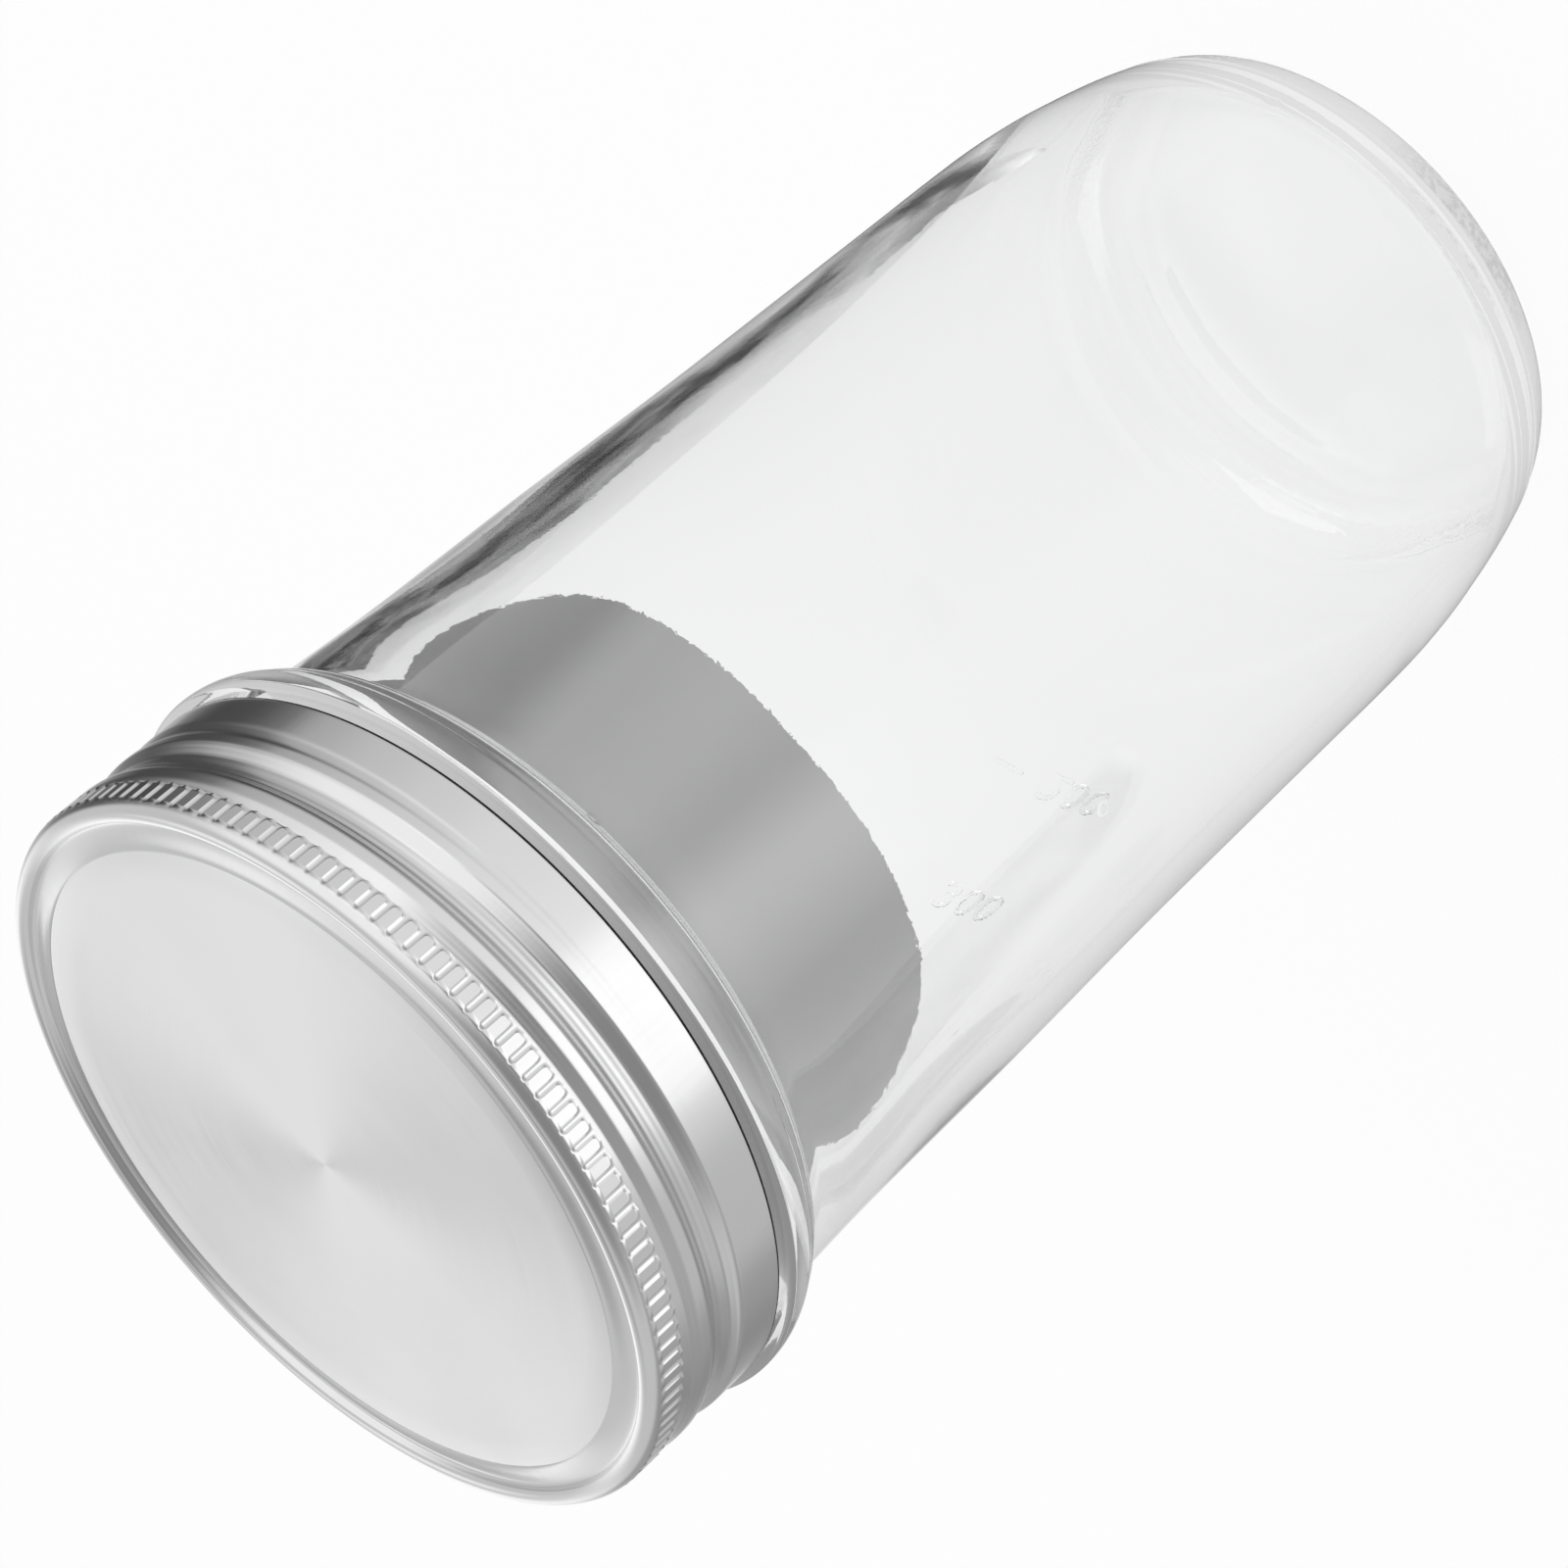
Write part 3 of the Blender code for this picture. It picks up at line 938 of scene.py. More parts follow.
    def flute_half(self, height: float) -> float:
        """Work out half the width of a flute: round above, flared below.

        Args:
            height: height in millimetres.

        Returns:
            Half the width there, as a share of the distance from flute to flute.
        """
        bottom, top = self.flute_span
        least, spread, rounded, flared = self.flute_halves
        if height > top:
            return least + spread * clamp01((height - top) / self.flute_fade)
        round_end = math.sqrt(clamp01((top - height) / self.flute_round))
        flare = ease((bottom + self.flute_ease - height) / self.flute_ease)
        return least + rounded * round_end + flared * flare

    def press_flutes(self, bm: BMesh) -> None:
        """Press the flutes of the knurled band into the turned wall.

        Args:
            bm: the lid's mesh.
        """
        bottom, top = self.flute_span
        for vertex in bm.verts:
            height, radius = vertex.co.z / MM, radius_of(vertex)
            if not bottom < height < top + self.flute_fade or radius < self.outer_wall:
                continue
            turn = azimuth_of(vertex) * self.flutes / math.tau
            flute = math.floor(turn + 0.5)
            share = turn - flute
            across = ease(1.5 * (1.0 - abs(share) / self.flute_column))
            reach = radius - self.flute_depth * across * ease((top - height) / self.flute_ease)
            moved = share * self.flute_half(height) / self.flute_column
            move_to(vertex, reach, (flute + moved) * math.tau / self.flutes)

    def raised(self, knots: Iterable[Point]) -> list[Point]:
        """Lift a profile from the height of the panel to its height above the ground."""
        return [(radius, self.panel_height + height) for radius, height in knots]

    def build(self, panel: Material, wall: Material, gap_shade: Material) -> bpy.types.Object:
        """Build the lid.

        Args:
            panel: the finish of the centre panel.
            wall: the finish of everything else.
            gap_shade: the near-black finish of the lower edge, painted shade of the gap between the
                lid and the glass bead.

        Returns:
            The lid.
        """
        bm = bmesh.new()
        outer, inner = self.outer_band(), self.inner_band()
        upper = [(radius, 0.0) for radius in self.panel_rings]
        upper += smooth_run(self.panel_and_channel, self.channel_step)
        upper += [(self.radius, height) for height in self.knurl_rows]
        turn_profile(bm, self.raised(upper) + [(self.radius, outer.top)], self.columns,
                     lambda azimuth: self.rolled_radius(azimuth, outer.top))
        outer.add_to(bm, self.rolled_radius)
        inner_radius = self.radius - self.sheet
        skirt = [(self.radius, outer.bottom), *self.raised(self.skirt_and_lip),
                 (inner_radius, inner.bottom)]
        turn_profile(bm, skirt, self.columns)
        inner.add_to(bm, lambda azimuth, height: self.rolled_radius(azimuth, height) - self.sheet)
        turn_profile(bm, self.raised(self.inside) + [(inner_radius, inner.top)], self.columns,
                     lambda azimuth: self.rolled_radius(azimuth, inner.top) - self.sheet)
        self.press_flutes(bm)
        lid = finish_mesh(bm, "lid_shell", sharp_degrees=40.0)
        for finish in (wall, panel, gap_shade):
            lid.data.materials.append(finish)
        # The lowest faces take the near-black finish, painted shade of the gap between the lid's
        # edge and the glass bead; faces of the centre panel take the brushed finish.
        for face in lid.data.polygons:
            centre = face.center
            if centre.z < (self.panel_height + self.gap_shade_height) * MM:
                face.material_index = 2
            elif (centre.z > (self.panel_height - self.panel_slack) * MM
                  and centre.xy.length < self.panel_edge * MM):
                face.material_index = 1
        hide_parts("screw_lid")
        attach(lid, "lid")
        return lid


@dataclass(frozen=True)
class WallWaves:
    """The slow and the quick waves of one face of the blown wall, with heights and lengths in mm.

    Attributes:
        seeds: where the slow and the quick noise start along the axis.
        quick_end: where the quick waves start to end, and the height over which they end.
    """

    slow: float
    quick: float
    seeds: Point
    slow_length: float = 21.0
    quick_length: float = 8.0
    quick_end: Point = (60.0, 20.0)

    def amount(self, place: Vector, height: float) -> float:
        """Work out the relief at a place on the wall.

        Args:
            place: the place in millimetres, its height halved, so that waves are long along it.
            height: its height in millimetres.

        Returns:
            The relief in millimetres.
        """
        slow = noise.noise(place / self.slow_length + Vector((3.1, 7.7, self.seeds[0])))
        quick = noise.noise(place / self.quick_length + Vector((9.2, 2.4, self.seeds[1])))
        quick *= 1.0 - ease((height - self.quick_end[0]) / self.quick_end[1])
        return self.slow * slow + self.quick * quick


@dataclass
class GlassJar:
    """The glass: threaded neck, transfer bead, shoulder, tapering body, heel and pushed-up base.

    Attributes:
        thread_lift: height of the raised thread above the lid's groove.
        thread_first: where the raised thread starts, in turns from the lid's groove at azimuth 0.
        thread_fade: turns over which both its ends fade.
        thread_rows: rows of faces in the threaded band, below its middle and in all.
        fine_step: distance of the points of which heel and base keep every tenth (picked).
        seam_place: height of the base mould's seam, around which seam_close keeps all points.
        wall_radius: radius beyond which a vertex belongs to the wall.
        wave_span: heights between which the wall has waves, which set in over wave_fades.
        outer_wave_end: where the outer face's waves end, and the height over which they do.
    """

    lead: ThreadLead = field(default_factory=ThreadLead)
    columns: int = 240
    rows_per_pitch: int = 20
    neck_radius: float = 43.2
    thread_radius: float = 44.45
    thread_lift: float = 2.4
    thread_half: float = 1.25
    thread_first: float = -1.2
    thread_last: float = 0.157
    thread_fade: float = 0.07
    thread_rows: tuple[int, int] = (35, 42)
    rim: Knots = (
        (39.50, 167.30), (39.56, 167.62), (39.78, 167.92), (40.30, 168.10), (41.90, 168.10),
        (42.50, 167.94), (42.95, 167.54), (43.20, 166.90),
    )
    bead: Knots = (
        (43.20, 152.75), (43.25, 152.30), (43.50, 151.95), (44.00, 151.80), (44.60, 151.72),
        (45.30, 151.60), (46.00, 151.42), (46.35, 151.25), (46.52, 151.00), (46.56, 150.60),
        (46.56, 150.20), (46.50, 149.60), (46.35, 148.90), (46.05, 148.10), (45.62, 147.42),
    )
    shoulder: Knots = (
        (45.62, 147.42), (45.30, 146.75), (44.60, 145.75), (43.70, 144.85), (42.90, 144.20),
        (42.38, 143.72),
    )
    body: Knots = (
        (42.38, 143.72), (42.26, 142.6), (42.18, 139.7), (41.55, 126.0), (41.10, 103.0),
        (40.35, 79.0), (39.95, 56.0), (39.74, 42.0),
    )
    foot: Knots = (
        (39.74, 42.0), (39.64, 34.0), (39.42, 27.0), (38.85, 20.8), (38.06, 15.8), (37.28, 11.6),
        (36.50, 8.2), (35.74, 5.6), (34.96, 3.5), (34.20, 1.95), (33.40, 0.90), (32.50, 0.30),
        (31.50, 0.05), (30.30, 0.0), (29.00, 0.03), (27.00, 0.22), (24.00, 0.68), (20.60, 1.20),
        (17.00, 1.70), (13.00, 2.15), (9.00, 2.48), (5.00, 2.70), (0.0, 2.80),
    )
    rim_step: float = 0.35
    bead_step: float = 0.4
    shoulder_step: float = 0.5
    wall_step: float = 1.7
    fine_step: float = 0.07
    picked: int = 10
    seam_place: float = 5.4
    seam_close: float = 0.36
    seam_half: float = 0.22
    seam_radius: float = 34.0
    seam_relief: float = 0.13
    wall_radius: float = 30.0
    wave_span: Point = (11.0, 148.0)
    wave_fades: Point = (16.0, 10.0)
    outer_wave_end: Point = (142.5, 6.0)
    waves_outside: WallWaves = WallWaves(0.02, 0.006, (1.9, 5.8))
    waves_inside: WallWaves = WallWaves(0.04, 0.012, (11.3, 0.7))
    inner_wall: Knots = (
        (0.0, 5.95), (5.0, 5.85), (9.0, 5.62), (13.0, 5.25), (17.0, 4.80), (20.6, 4.34),
        (24.0, 3.96), (27.0, 3.84), (29.6, 4.24), (31.7, 5.40), (33.2, 7.40), (34.4, 10.5),
        (35.4, 15.0), (36.10, 20.6), (36.60, 27.0), (36.90, 34.0), (37.00, 42.0), (37.12, 56.0),
        (37.50, 79.0), (38.10, 103.0), (38.70, 125.0), (39.15, 142.0), (39.50, 149.0),
        (39.50, 158.0), (39.50, 167.30),
    )

    def thread_band(self) -> HelicalBand:
        """Lay out the band of the neck that carries the raised thread.

        Returns:
            The band.
        """
        below, rows = self.thread_rows
        drop = below * (self.lead.pitch / self.rows_per_pitch)
        return HelicalBand(self.lead, self.lead.groove_height + self.thread_lift - drop, rows,
                           self.rows_per_pitch, self.columns)

    def neck_radius_at(self, angle: float, height: float) -> float:
        """Outside radius of the threaded neck.

        Args:
            angle: azimuth in radians.
            height: height in millimetres.

        Returns:
            The radius in millimetres.
        """
        offset = self.lead.offset(angle, height - self.thread_lift)
        middle = height - offset
        turn = (middle - self.thread_lift - self.lead.groove_height) / self.lead.pitch
        along = min(turn - self.thread_first, self.thread_last - turn) / self.thread_fade
        crest = ease((1.0 - abs(offset) / self.thread_half) * 1.5)
        return self.neck_radius + (self.thread_radius - self.neck_radius) * crest * ease(along)

    def heel_and_base(self) -> list[Point]:
        """Draw heel, standing ring and base, with close points at the seam of the base mould.

        Returns:
            (radius, height) pairs in millimetres.
        """
        run = [(radius, max(0.0, height))
               for radius, height in smooth_run(self.foot, self.fine_step)]
        kept = [point for index, point in enumerate(run[:-1])
                if index % self.picked == 0 or abs(point[1] - self.seam_place) < self.seam_close]
        return kept + run[-1:]

    def raise_seam(self, bm: BMesh) -> None:
        """Raise the fine seam of the base mould, which is sharp only on the half that faces +X.

        Args:
            bm: the jar's mesh.
        """
        for vertex in bm.verts:
            radius = radius_of(vertex)
            near = ease(1.0 - abs(vertex.co.z / MM - self.seam_place) / self.seam_half)
            if radius < self.seam_radius or near == 0.0:
                continue
            facing = 0.5 + 0.5 * vertex.co.x / MM / radius
            push_out(vertex, self.seam_relief * near * (0.15 + 0.85 * ease(facing * 1.3 - 0.2)))

    @staticmethod
    def between_faces(height: float) -> float:
        """Give a radius that lies between the two faces of the wall at a height."""
        return 38.6 + 2.2 * (height - 60.0) / 80.0

    def ripple(self, bm: BMesh) -> None:
        """Give both faces of the blown wall their waves.

        Args:
            bm: the jar's mesh.
        """
        (low, high), (low_fade, high_fade) = self.wave_span, self.wave_fades
        for vertex in bm.verts:
            height, radius = vertex.co.z / MM, radius_of(vertex)
            if not low < height < high or radius < self.wall_radius:
                continue
            gate = ease((height - low) / low_fade) * ease((high - height) / high_fade)
            waves = self.waves_inside
            if radius > self.between_faces(height):
                gate *= ease((self.outer_wave_end[0] - height) / self.outer_wave_end[1])
                waves = self.waves_outside
            place = Vector((vertex.co.x, vertex.co.y, vertex.co.z * 0.5)) / MM
            push_out(vertex, gate * waves.amount(place, height))

    def build(self, glass: Material) -> bpy.types.Object:
        """Build the jar.

        Args:
            glass: the finish.

        Returns:
            The jar.
        """
        bm = bmesh.new()
        band = self.thread_band()
        inside = smooth_run(self.inner_wall, self.wall_step)[:-1]
        rim = smooth_run(self.rim, self.rim_step) + [(self.neck_radius, band.top)]
        turn_profile(bm, inside + rim, self.columns)
        band.add_to(bm, self.neck_radius_at)
        outside = [(self.neck_radius, band.bottom)]
        for knots, step in ((self.bead, self.bead_step), (self.shoulder, self.shoulder_step),
                            (self.body, self.wall_step)):
            outside += smooth_run(knots, step)[:-1]
        outside += self.heel_and_base()
        turn_profile(bm, outside, self.columns)
        self.raise_seam(bm)
        self.ripple(bm)
        jar = finish_mesh(bm, "jar_glass", sharp_degrees=35.0)
        jar.data.materials.append(glass)
        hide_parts("glass_jar")
        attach(jar, "jar")
        return jar


@dataclass
class VolumeScale:
    """The faint raised scale on the far side of the glass: plain numbers, the stroked ones with a
    stroke beside them.

    Attributes:
        font_size: size of the typeface for digits of height 1.
        relief: how far the scale stands out of the glass, into which it is sunk a little.
        marks: number, its azimuth in degrees, its height and the radius of the glass there.
    """

    stroke_turn: float = 208.6
    stroke_width: float = 4.5
    stroke_height: float = 0.55
    digit_height: float = 4.6
    font_size: float = 1.4
    relief: float = 0.16
    sunk: float = 0.03
    marks: tuple[tuple[str, float, float, float], ...] = (
        ("200", 216.3, 55.2, 40.08), ("300", 218.3, 75.2, 40.36),
    )
    stroked: tuple[str, ...] = ("200",)

    def lettering(self, words: str) -> BMesh:
        """Make the flat solid of a number, lying in the plane and reading along +X.

        Args:
            words: the number.

        Returns:
            The mesh in millimetres.
        """
        curve = bpy.data.curves.new("number " + words, "FONT")
        curve.body = words
        curve.size = self.digit_height * self.font_size
        curve.extrude = (self.relief + self.sunk) / 2.0
        curve.resolution_u = 3
        carrier = to_scene("number " + words, curve)
        depsgraph = bpy.context.evaluated_depsgraph_get()
        mesh = bpy.data.meshes.new_from_object(carrier.evaluated_get(depsgraph))
        bm = bmesh.new()
        bm.from_mesh(mesh)
        bpy.data.objects.remove(carrier, do_unlink=True)
        bpy.data.curves.remove(curve)
        bpy.data.meshes.remove(mesh)
        return bm

    def stroke(self) -> BMesh:
        """Make the flat solid of a scale stroke.

        Returns:
            The mesh in millimetres.
        """
        bm = bmesh.new()
        size = (self.stroke_width, self.stroke_height, self.relief + self.sunk)
        bmesh.ops.create_cube(bm, size=1.0)
        bmesh.ops.scale(bm, vec=size, verts=bm.verts)
        bmesh.ops.translate(bm, vec=(0.0, self.digit_height / 2.0, 0.0), verts=bm.verts)
        return bm

    def wrap(self, bm: BMesh, turn: float, height: float, radius: float) -> None:
        """Bend a flat solid onto the outside of the glass.

        Args:
            bm: the flat solid in millimetres.
            turn: azimuth of its origin in degrees.
            height: height of its foot.
            radius: radius of the glass there.
        """
        middle = radius + (self.relief - self.sunk) / 2.0
        for vertex in bm.verts:
            angle = math.radians(turn) + vertex.co.x / radius
            reach = (middle + vertex.co.z) * MM
            foot = (height - self.digit_height / 2.0 + vertex.co.y) * MM
            vertex.co = Vector((reach * math.cos(angle), reach * math.sin(angle), foot))

    def build(self, glass: Material) -> bpy.types.Object:
        """Build the scale as one piece.

        Args:
            glass: the finish.

        Returns:
            The piece.
        """
        whole = bmesh.new()
        for words, place, height, radius in self.marks:
            flats = [(self.lettering(words), place)]
            if words in self.stroked:
                flats.append((self.stroke(), self.stroke_turn))
            for flat, turn in flats:
                self.wrap(flat, turn, height, radius)
                join_into(whole, flat)
        piece = finish_mesh(whole, "volume_scale", sharp_degrees=30.0)
        piece.data.materials.append(glass)
        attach(piece, "jar")
        return piece


@dataclass
class SealingRing:
    """The flat silicone ring with a rounded section that sits in the lid on the glass rim."""

    columns: int = 180
    section: Knots = (
        (39.60, 169.15), (39.64, 169.65), (39.95, 169.90), (41.00, 169.80), (41.80, 169.90),
        (42.60, 169.80), (43.65, 169.90), (43.96, 169.65), (44.00, 169.15), (43.96, 168.65),
        (43.65, 168.40), (42.60, 168.48), (41.80, 168.40), (41.00, 168.48), (39.95, 168.40),
        (39.64, 168.65), (39.60, 169.15),
    )

    def build(self, silicone: Material) -> bpy.types.Object:
        """Build the ring.

        Args:
            silicone: the finish.

        Returns:
            The ring.
        """
        bm = bmesh.new()
        turn_profile(bm, smooth_run(self.section, 0.25), self.columns)
        ring = finish_mesh(bm, "seal_ring", sharp_degrees=60.0)
        ring.data.materials.append(silicone)
        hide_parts("sealing_ring")
        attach(ring, "seal")
        return ring


# Studio


@dataclass(frozen=True)
class Card:
    """A card that only the view through glass shows.

    Attributes:
        name: its name.
        corners: its corners as (x, y, z) in millimetres.
        tones: its brightness by y in millimetres, 1 being white.
        rounding: how far its two nearest corners are rounded, in millimetres.
        mottle: how much its brightness varies from place to place.
        cloud_scale: how fine that variation is.
    """

    name: str
    corners: tuple[tuple[float, float, float], ...]
    tones: Knots
    rounding: float = 0.0
    mottle: float = 0.0
    cloud_scale: float = 26.0

    def build(self) -> None:
        """Make the card."""
        bm = bmesh.new()
        corners = [bm.verts.new(Vector(corner) * MM) for corner in self.corners]
        bmesh.ops.contextual_create(bm, geom=corners)
        if self.rounding:
            bmesh.ops.bevel(
                bm,
                geom=sorted(bm.verts, key=lambda corner: corner.co.length)[:2],
                offset=self.rounding * MM,
                segments=24,
                profile=0.5,
                affect="VERTICES",
                material=-1,
                clamp_overlap=True,
            )
        card = to_scene(self.name, mesh_from(bm, self.name))
        material, sheet, shader = new_material(self.name)
        place = sheet.add("TexCoord").outputs["Object"]
        split = sheet.add("SeparateXYZ")
        sheet.feed(split, 0, place)
        across = sheet.math("MULTIPLY", split.outputs[1], 1.0 / MM)
        cloud = sheet.ramp(sheet.noise(place, self.cloud_scale, 3.0), 0.40, 0.60,
                           1.0 - self.mottle, 1.0 + self.mottle)
        tone = sheet.math("MULTIPLY", sheet.curve(across, self.tones), cloud)
        sheet.show(sheet.result("Emission", tone))
        sheet.tree.nodes.remove(shader)
        card.data.materials.append(material)
        card.visible_camera = False
        card.visible_diffuse = False
        card.visible_glossy = False
        card.visible_shadow = False


@dataclass(frozen=True)
class SkyPatch:
    """A soft brighter or darker patch of the surroundings.

    Attributes:
        azimuth: its direction around the jar.
        elevation: its height above the horizon.
        inner: the angle from its centre up to which it is full.
        outer: the angle at which it ends.
        change: how much it adds to the brightness.
    """

    azimuth: float
    elevation: float
    inner: float
    outer: float
    change: float

    def add_to(self, sheet: Sheet, direction: Socket) -> Socket:
        """Place the patch's nodes.

        Args:
            sheet: the sheet.
            direction: the direction that is looked at.

        Returns:
            The patch's share of the brightness.
        """
        towards = sheet.add("VectorMath", operation="DOT_PRODUCT")
        sheet.feed(towards, 0, direction)
        sheet.feed(towards, 1, unit_way(self.azimuth, self.elevation))
        return sheet.ramp(towards.outputs["Value"], math.cos(math.radians(self.outer)),
                          math.cos(math.radians(self.inner)), 0.0, self.change)


@dataclass(frozen=True)
class SoftLight:
    """A soft square light that faces the jar.

    Attributes:
        name: its name.
        azimuth: where it stands around the jar, in degrees.
        elevation: how high it stands, in degrees.
        distance: its distance in metres.
        size: its side in metres.
        power: its power in watts.
    """

    name: str
    azimuth: float
    elevation: float
    distance: float
    size: float
    power: float

    def build(self) -> None:
        """Make the light."""
        data = bpy.data.lights.new(self.name, "AREA")
        data.size = self.size
        data.energy = self.power
        light = to_scene(self.name, data)
        way = unit_way(self.azimuth, self.elevation)
        light.location = way * self.distance + Vector((0.0, 0.0, JAR_MIDDLE))
        light.rotation_mode = "QUATERNION"
        light.rotation_quaternion = way.to_track_quat("Z", "Y")
        light.visible_glossy = False


@dataclass
class Studio:
    """Floor, cards, lights, surroundings and camera.

    The walls and the floor as reflections show them have a brightness that changes around the jar.

    Attributes:
        floor_tone: brightness of the floor where light falls on it.
        floor_glow: how much of what the camera sees of the floor is plain white.
        through_tone: brightness of the floor as seen through glass.
        near_floor: brightness of the near floor in mirrors, by azimuth in degrees.
        surround: the same of the floor farther out.
        horizon: the same of the far floor and the lowest surroundings.
        near_ends: radii in metres between which near_floor gives way to surround.
        surround_ends: the same for surround and horizon.
        close_ends: the same for what glass mirrors of the floor right beside it.
    """

    floor_size: float = 6.0
    floor_drop: float = 0.0002
    floor_tone: float = 0.86
    floor_glow: float = 0.93
    through_tone: float = 0.91
    near_floor: Knots = (
        *BEHIND_LEFT, (-130.0, 0.28), (-120.0, 0.27), (-80.0, 0.36), (-40.0, 0.36), (0.0, 0.47),
        (40.0, 0.40), (80.0, 0.17), (104.0, 0.08), (120.0, 0.04), (134.0, 0.05), *BEHIND_RIGHT,
    )
    horizon: Knots = (
        *BEHIND_LEFT, (-120.0, 0.35), (-80.0, 0.46), (-40.0, 0.36), (0.0, 0.26), (18.0, 0.60),
        (40.0, 1.14), (80.0, 0.86), (105.0, 0.40), (120.0, 0.18), (134.0, 0.10), *BEHIND_RIGHT,
    )
    surround: Knots = (
        *BEHIND_LEFT, (-130.0, 0.30), (-110.0, 0.38), (-90.0, 0.58), (-66.0, 0.60),
        (-52.0, 0.80), (-42.0, 1.30), (-8.0, 1.30), (4.0, 0.95), (30.0, 0.86), (50.0, 0.75),
        (70.0, 0.64), (92.0, 0.48), (104.0, 0.16), (116.0, 0.08), (134.0, 0.07), *BEHIND_RIGHT,
    )
    near_ends: Point = (0.14, 0.28)
    surround_ends: Point = (0.42, 1.0)
    close_ends: Point = (0.05, 0.12)
    sky_rise: Point = (-0.05, 0.22)
    ceiling_tone: float = 0.64
    sky: tuple[SkyPatch, ...] = (
        SkyPatch(180.0, -4.0, 10.0, 36.0, 0.60),
        SkyPatch(162.0, 52.0, 6.0, 22.0, 0.42),
        SkyPatch(-166.0, 60.0, 6.0, 26.0, -0.26),
        SkyPatch(50.0, 20.0, 20.0, 55.0, 0.40),
        SkyPatch(-35.0, 38.0, 15.0, 55.0, -0.36),
    )
    camera_distance: float = 0.58581
    camera_elevation: float = 24.72
    camera_yaw: float = 0.17
    camera_pitch: float = -6.05
    camera_roll: float = 131.26
    camera_lens: float = 129.16
    aim_height: float = 0.1715
    cards: tuple[Card, ...] = (
        # The first card is grey emission with a round front edge, seen only through the glass:
        # painted shadow of the lid on the floor behind the jar.
        Card("painted lid shadow", ((-153.0, 73.0, 2.0), (-420.0, 100.0, 2.0), (-2500.0, 500.0, 2.0),
                           (-2500.0, -500.0, 2.0), (-420.0, -100.0, 2.0), (-153.0, -73.0, 2.0)),
             ((-60.0, 0.36), (-34.0, 0.27), (-13.0, 0.40), (0.0, 0.28), (14.0, 0.33),
              (32.0, 0.29), (48.0, 0.13)), rounding=70.0),
        Card("card upright", ((-2500.0, 500.0, 2.0), (-2500.0, 500.0, 700.0),
                              (-2500.0, -500.0, 700.0), (-2500.0, -500.0, 2.0)),
             ((-60.0, 0.38), (60.0, 0.30))),
        Card("card left", ((-16.0, 42.0, 1.0), (-500.0, 225.0, 1.0), (-500.0, 900.0, 1.0),
                           (-105.0, 900.0, 1.0)),
             ((42.0, 0.80), (66.0, 0.46), (100.0, 0.20), (160.0, 0.13), (900.0, 0.13)),
             mottle=0.85),
        Card("card right", ((0.0, -44.0, 1.0), (200.0, -900.0, 1.0), (-500.0, -900.0, 1.0),
                            (-500.0, -240.0, 1.0)),
             ((-500.0, 0.62), (-260.0, 0.88), (-50.0, 0.91))),
    )
    lights: tuple[SoftLight, ...] = (
        SoftLight("soft key", 75.0, 50.0, 1.2, 0.9, 4.5),
        SoftLight("soft fill", -120.0, 40.0, 1.3, 0.9, 3.0),
    )

    @staticmethod
    def around(sheet: Sheet, groups: EffectGroups, place: Socket) -> tuple[Socket, Socket, Socket]:
        """Read a place about the jar's axis.

        Args:
            sheet: the sheet.
            groups: the shared effects.
            place: the place.

        Returns:
            Its radius, its azimuth in degrees and its height.
        """
        polar = sheet.group(groups.polar, Vector=place).outputs
        azimuth = sheet.math("MULTIPLY_ADD", polar["Turn"], 360.0, -180.0)
        return polar["Radius"], azimuth, polar["Height"]

    def floor_mirrored(self, sheet: Sheet, radius: Socket, azimuth: Socket,
                       in_glass: Socket) -> Socket:
        """Read the brightness that mirrors show of the floor, from the place on it.

        Args:
            sheet: the sheet.
            radius: the place's distance from the jar's axis in metres.
            azimuth: its azimuth in degrees.
            in_glass: 1 for rays that have passed through glass.

        Returns:
            The brightness.
        """
        tone = sheet.mix_colour(sheet.ramp(radius, *self.near_ends, 1.0, 0.0),
                                sheet.curve(azimuth, self.surround),
                                sheet.curve(azimuth, self.near_floor))
        tone = sheet.mix_colour(sheet.ramp(radius, *self.surround_ends, 0.0, 1.0), tone,
                                sheet.curve(azimuth, self.horizon))
        close = sheet.math("MULTIPLY", sheet.ramp(radius, *self.close_ends, 1.0, 0.0), in_glass)
        return sheet.mix_colour(close, tone, grey(self.through_tone))

    def build_floor(self, groups: EffectGroups) -> None:
        """Make the pale floor, which shows white to the camera and keeps a soft shadow.

        Args:
            groups: the shared effects.
        """
        bm = bmesh.new()
        bmesh.ops.create_grid(bm, x_segments=1, y_segments=1, size=self.floor_size / 2.0)
        bmesh.ops.translate(bm, vec=(0.0, 0.0, -self.floor_drop), verts=bm.verts)
        floor = to_scene("floor", mesh_from(bm, "floor"))
        material, sheet, shader = new_material("pale floor")
        sheet.feed_all(shader, Base_Color=grey(self.floor_tone), Roughness=0.9,
                       Specular_IOR_Level=0.0)
        path = sheet.add("LightPath").outputs
        through = path["Is Transmission Ray"]
        mirrored = sheet.math("MAXIMUM", sheet.math("SUBTRACT", path["Is Glossy Ray"], through),
                              0.0)
        radius, azimuth, _ = self.around(sheet, groups, sheet.add("TexCoord").outputs["Object"])
        in_glass = sheet.math("MINIMUM", path["Transmission Depth"], 1.0)
        tone = sheet.mix_colour(mirrored,
                                sheet.mix_colour(through, grey(1.0), grey(self.through_tone)),
                                self.floor_mirrored(sheet, radius, azimuth, in_glass))
        direct = sheet.math("MULTIPLY", path["Is Camera Ray"], self.floor_glow)
        share = sheet.math("MAXIMUM", direct, sheet.math("MAXIMUM", through, mirrored))
        glow = sheet.result("Emission", tone)
        sheet.show(sheet.result("MixShader", share, shader.outputs[0], glow))
        floor.data.materials.append(material)

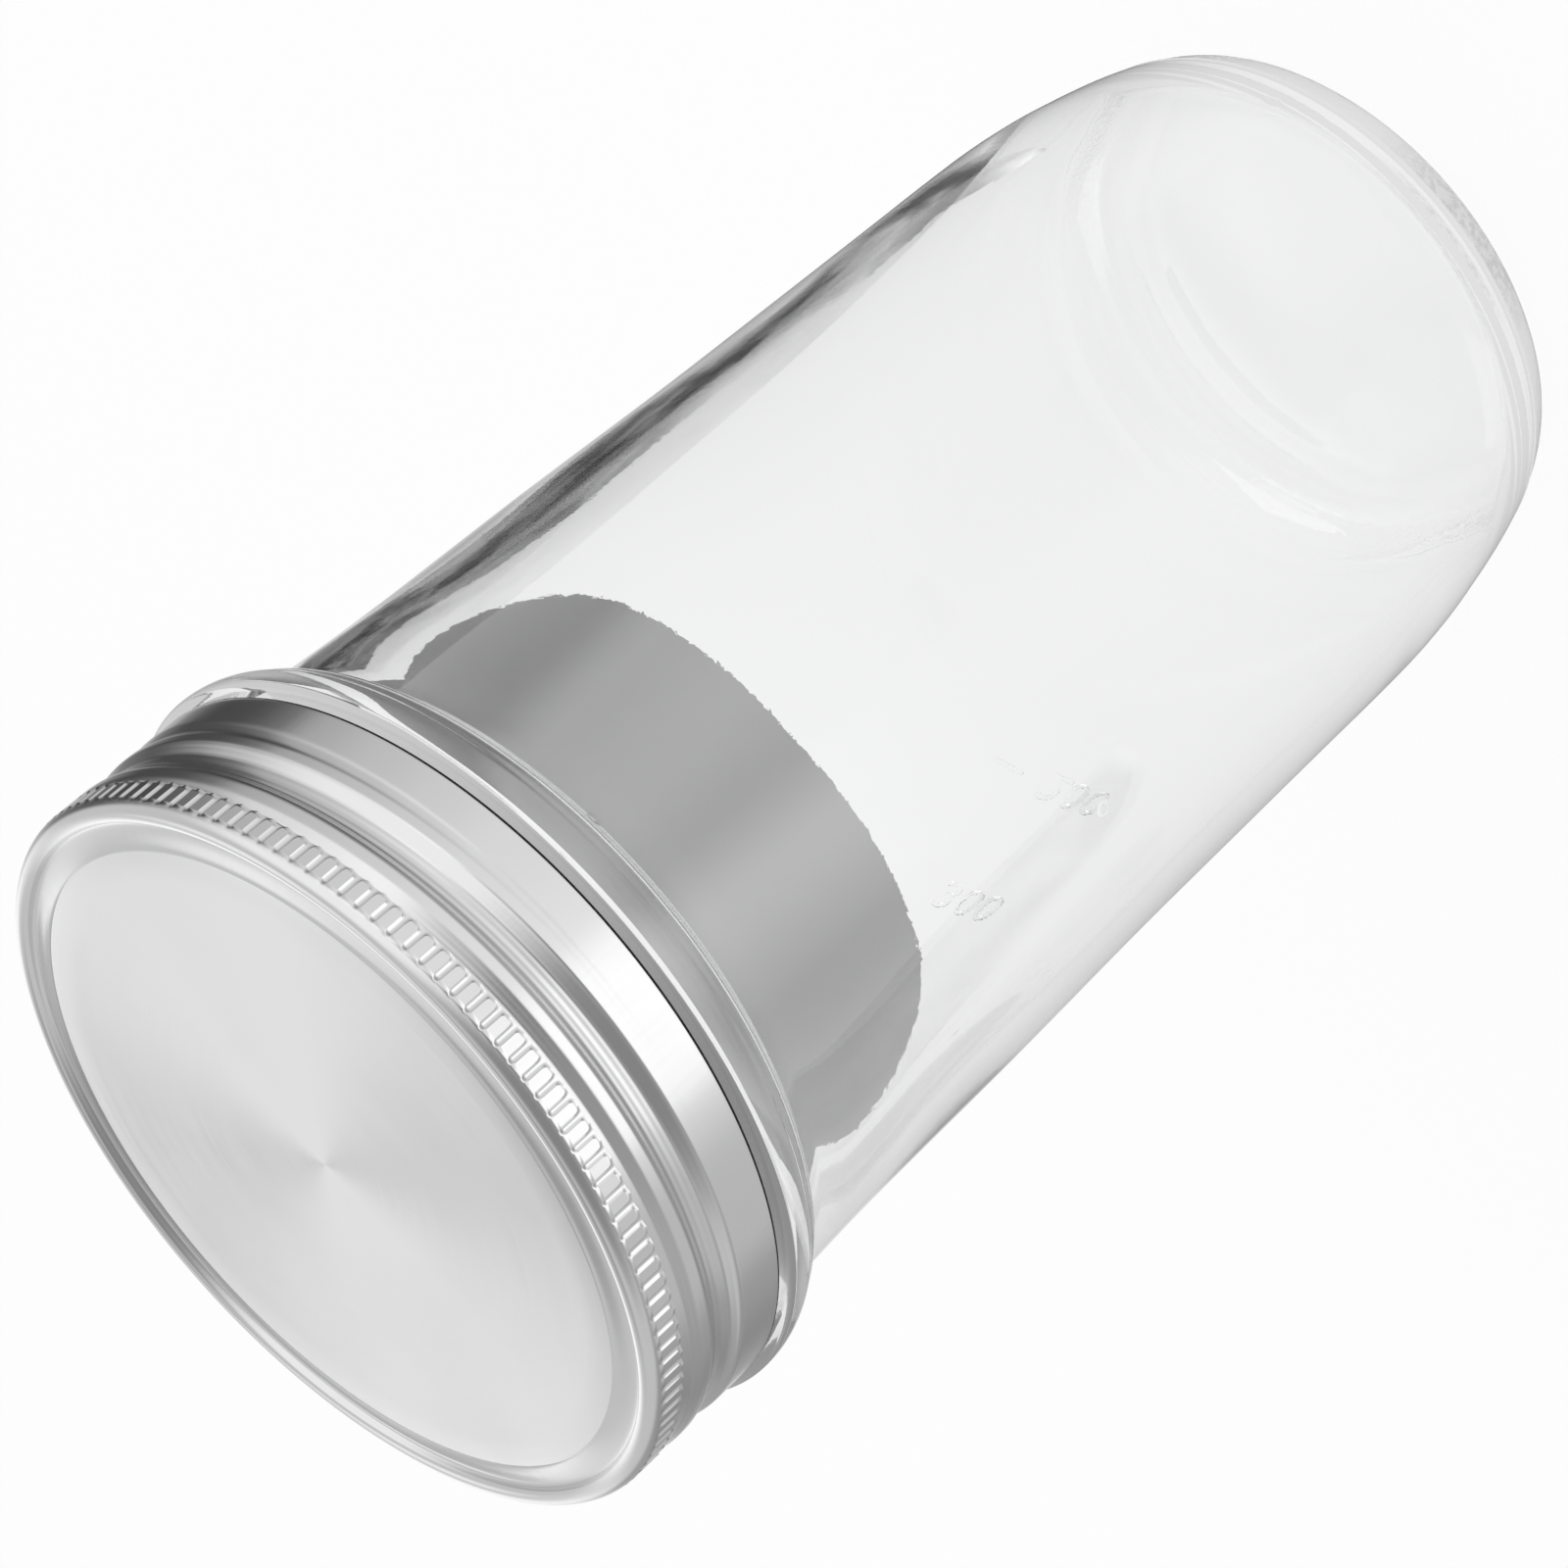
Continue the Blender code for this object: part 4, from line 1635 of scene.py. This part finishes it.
    def build_world(self, groups: EffectGroups) -> None:
        """Make the soft surroundings, which show white where the background is seen.

        Args:
            groups: the shared effects.
        """
        world = bpy.data.worlds.new("studio")
        world.use_nodes = True
        bpy.context.scene.world = world
        sheet = Sheet(world.node_tree)
        direction = sheet.add("TexCoord").outputs["Generated"]
        _, azimuth, height = self.around(sheet, groups, direction)
        level: object = self.ceiling_tone
        for patch in self.sky:
            level = sheet.math("ADD", patch.add_to(sheet, direction), level)
        high = sheet.ramp(height, *self.sky_rise, 0.0, 1.0)
        low = sheet.math("MULTIPLY", sheet.curve(azimuth, self.horizon),
                         sheet.math("SUBTRACT", 1.0, high))
        tone = sheet.math("ADD", sheet.math("MULTIPLY", level, high), low)
        seen = sheet.add("LightPath").outputs["Is Camera Ray"]
        sheet.feed_all(world.node_tree.nodes["Background"], Color=grey(1.0),
                       Strength=sheet.math("MAXIMUM", tone, seen))

    def build_camera(self) -> None:
        """Make the camera at the photograph's viewing angle."""
        place = unit_way(0.0, self.camera_elevation) * self.camera_distance
        forward = -place.normalized()
        right = forward.cross(Vector((0.0, 0.0, 1.0))).normalized()
        up = right.cross(forward)
        yaw = Matrix.Rotation(math.radians(self.camera_yaw), 3, up)
        forward, right = yaw @ forward, yaw @ right
        pitch = Matrix.Rotation(math.radians(self.camera_pitch), 3, right)
        forward, up = pitch @ forward, pitch @ up
        roll = Matrix.Rotation(math.radians(self.camera_roll), 3, forward)
        right, up = roll @ right, roll @ up
        turn = Matrix((right, up, -forward)).transposed()
        data = bpy.data.cameras.new("camera")
        data.lens = self.camera_lens
        data.sensor_width = 36.0
        data.clip_start = 0.01
        camera = to_scene("camera", data)
        camera.location = place + Vector((0.0, 0.0, self.aim_height))
        camera.rotation_mode = "QUATERNION"
        camera.rotation_quaternion = turn.to_quaternion()
        bpy.context.scene.camera = camera

    def build(self, groups: EffectGroups) -> None:
        """Set up the whole studio.

        Args:
            groups: the shared effects.
        """
        bpy.context.scene.view_settings.view_transform = "Standard"
        self.build_floor(groups)
        self.build_world(groups)
        for card in self.cards:
            card.build()
        for light in self.lights:
            light.build()
        self.build_camera()


def main() -> None:
    """Build the pieces and the studio."""
    logging.basicConfig(level=logging.INFO, format="%(name)s: %(message)s")
    groups = EffectGroups()
    glass = GlassFinish().build(groups)
    wall = SteelFinish("stamped steel wall", Brushing.AXIAL).build(groups)
    panel = SteelFinish("circular brushed steel", Brushing.CIRCULAR, colour=(0.88, 0.88, 0.885),
                        roughness=0.31, anisotropy=0.82, grain_height=0.000004).build(groups)
    # Near-black steel for the lid's lowest edge: painted shade of the gap between the lid and the
    # glass bead.
    gap_shade = SteelFinish("painted gap shade", Brushing.AXIAL, colour=(0.05, 0.05, 0.05),
                      roughness=0.6).build(groups)
    pieces = [
        GlassJar().build(glass),
        VolumeScale().build(glass),
        SealingRing().build(SiliconeFinish().build(groups)),
        ScrewLid().build(panel, wall, gap_shade),
    ]
    for piece in pieces:
        count = sum(len(face.vertices) - 2 for face in piece.data.polygons)
        LOG.info("%s: %d triangles", piece.name, count)
    Studio().build(groups)


if __name__ == "__main__":
    main()
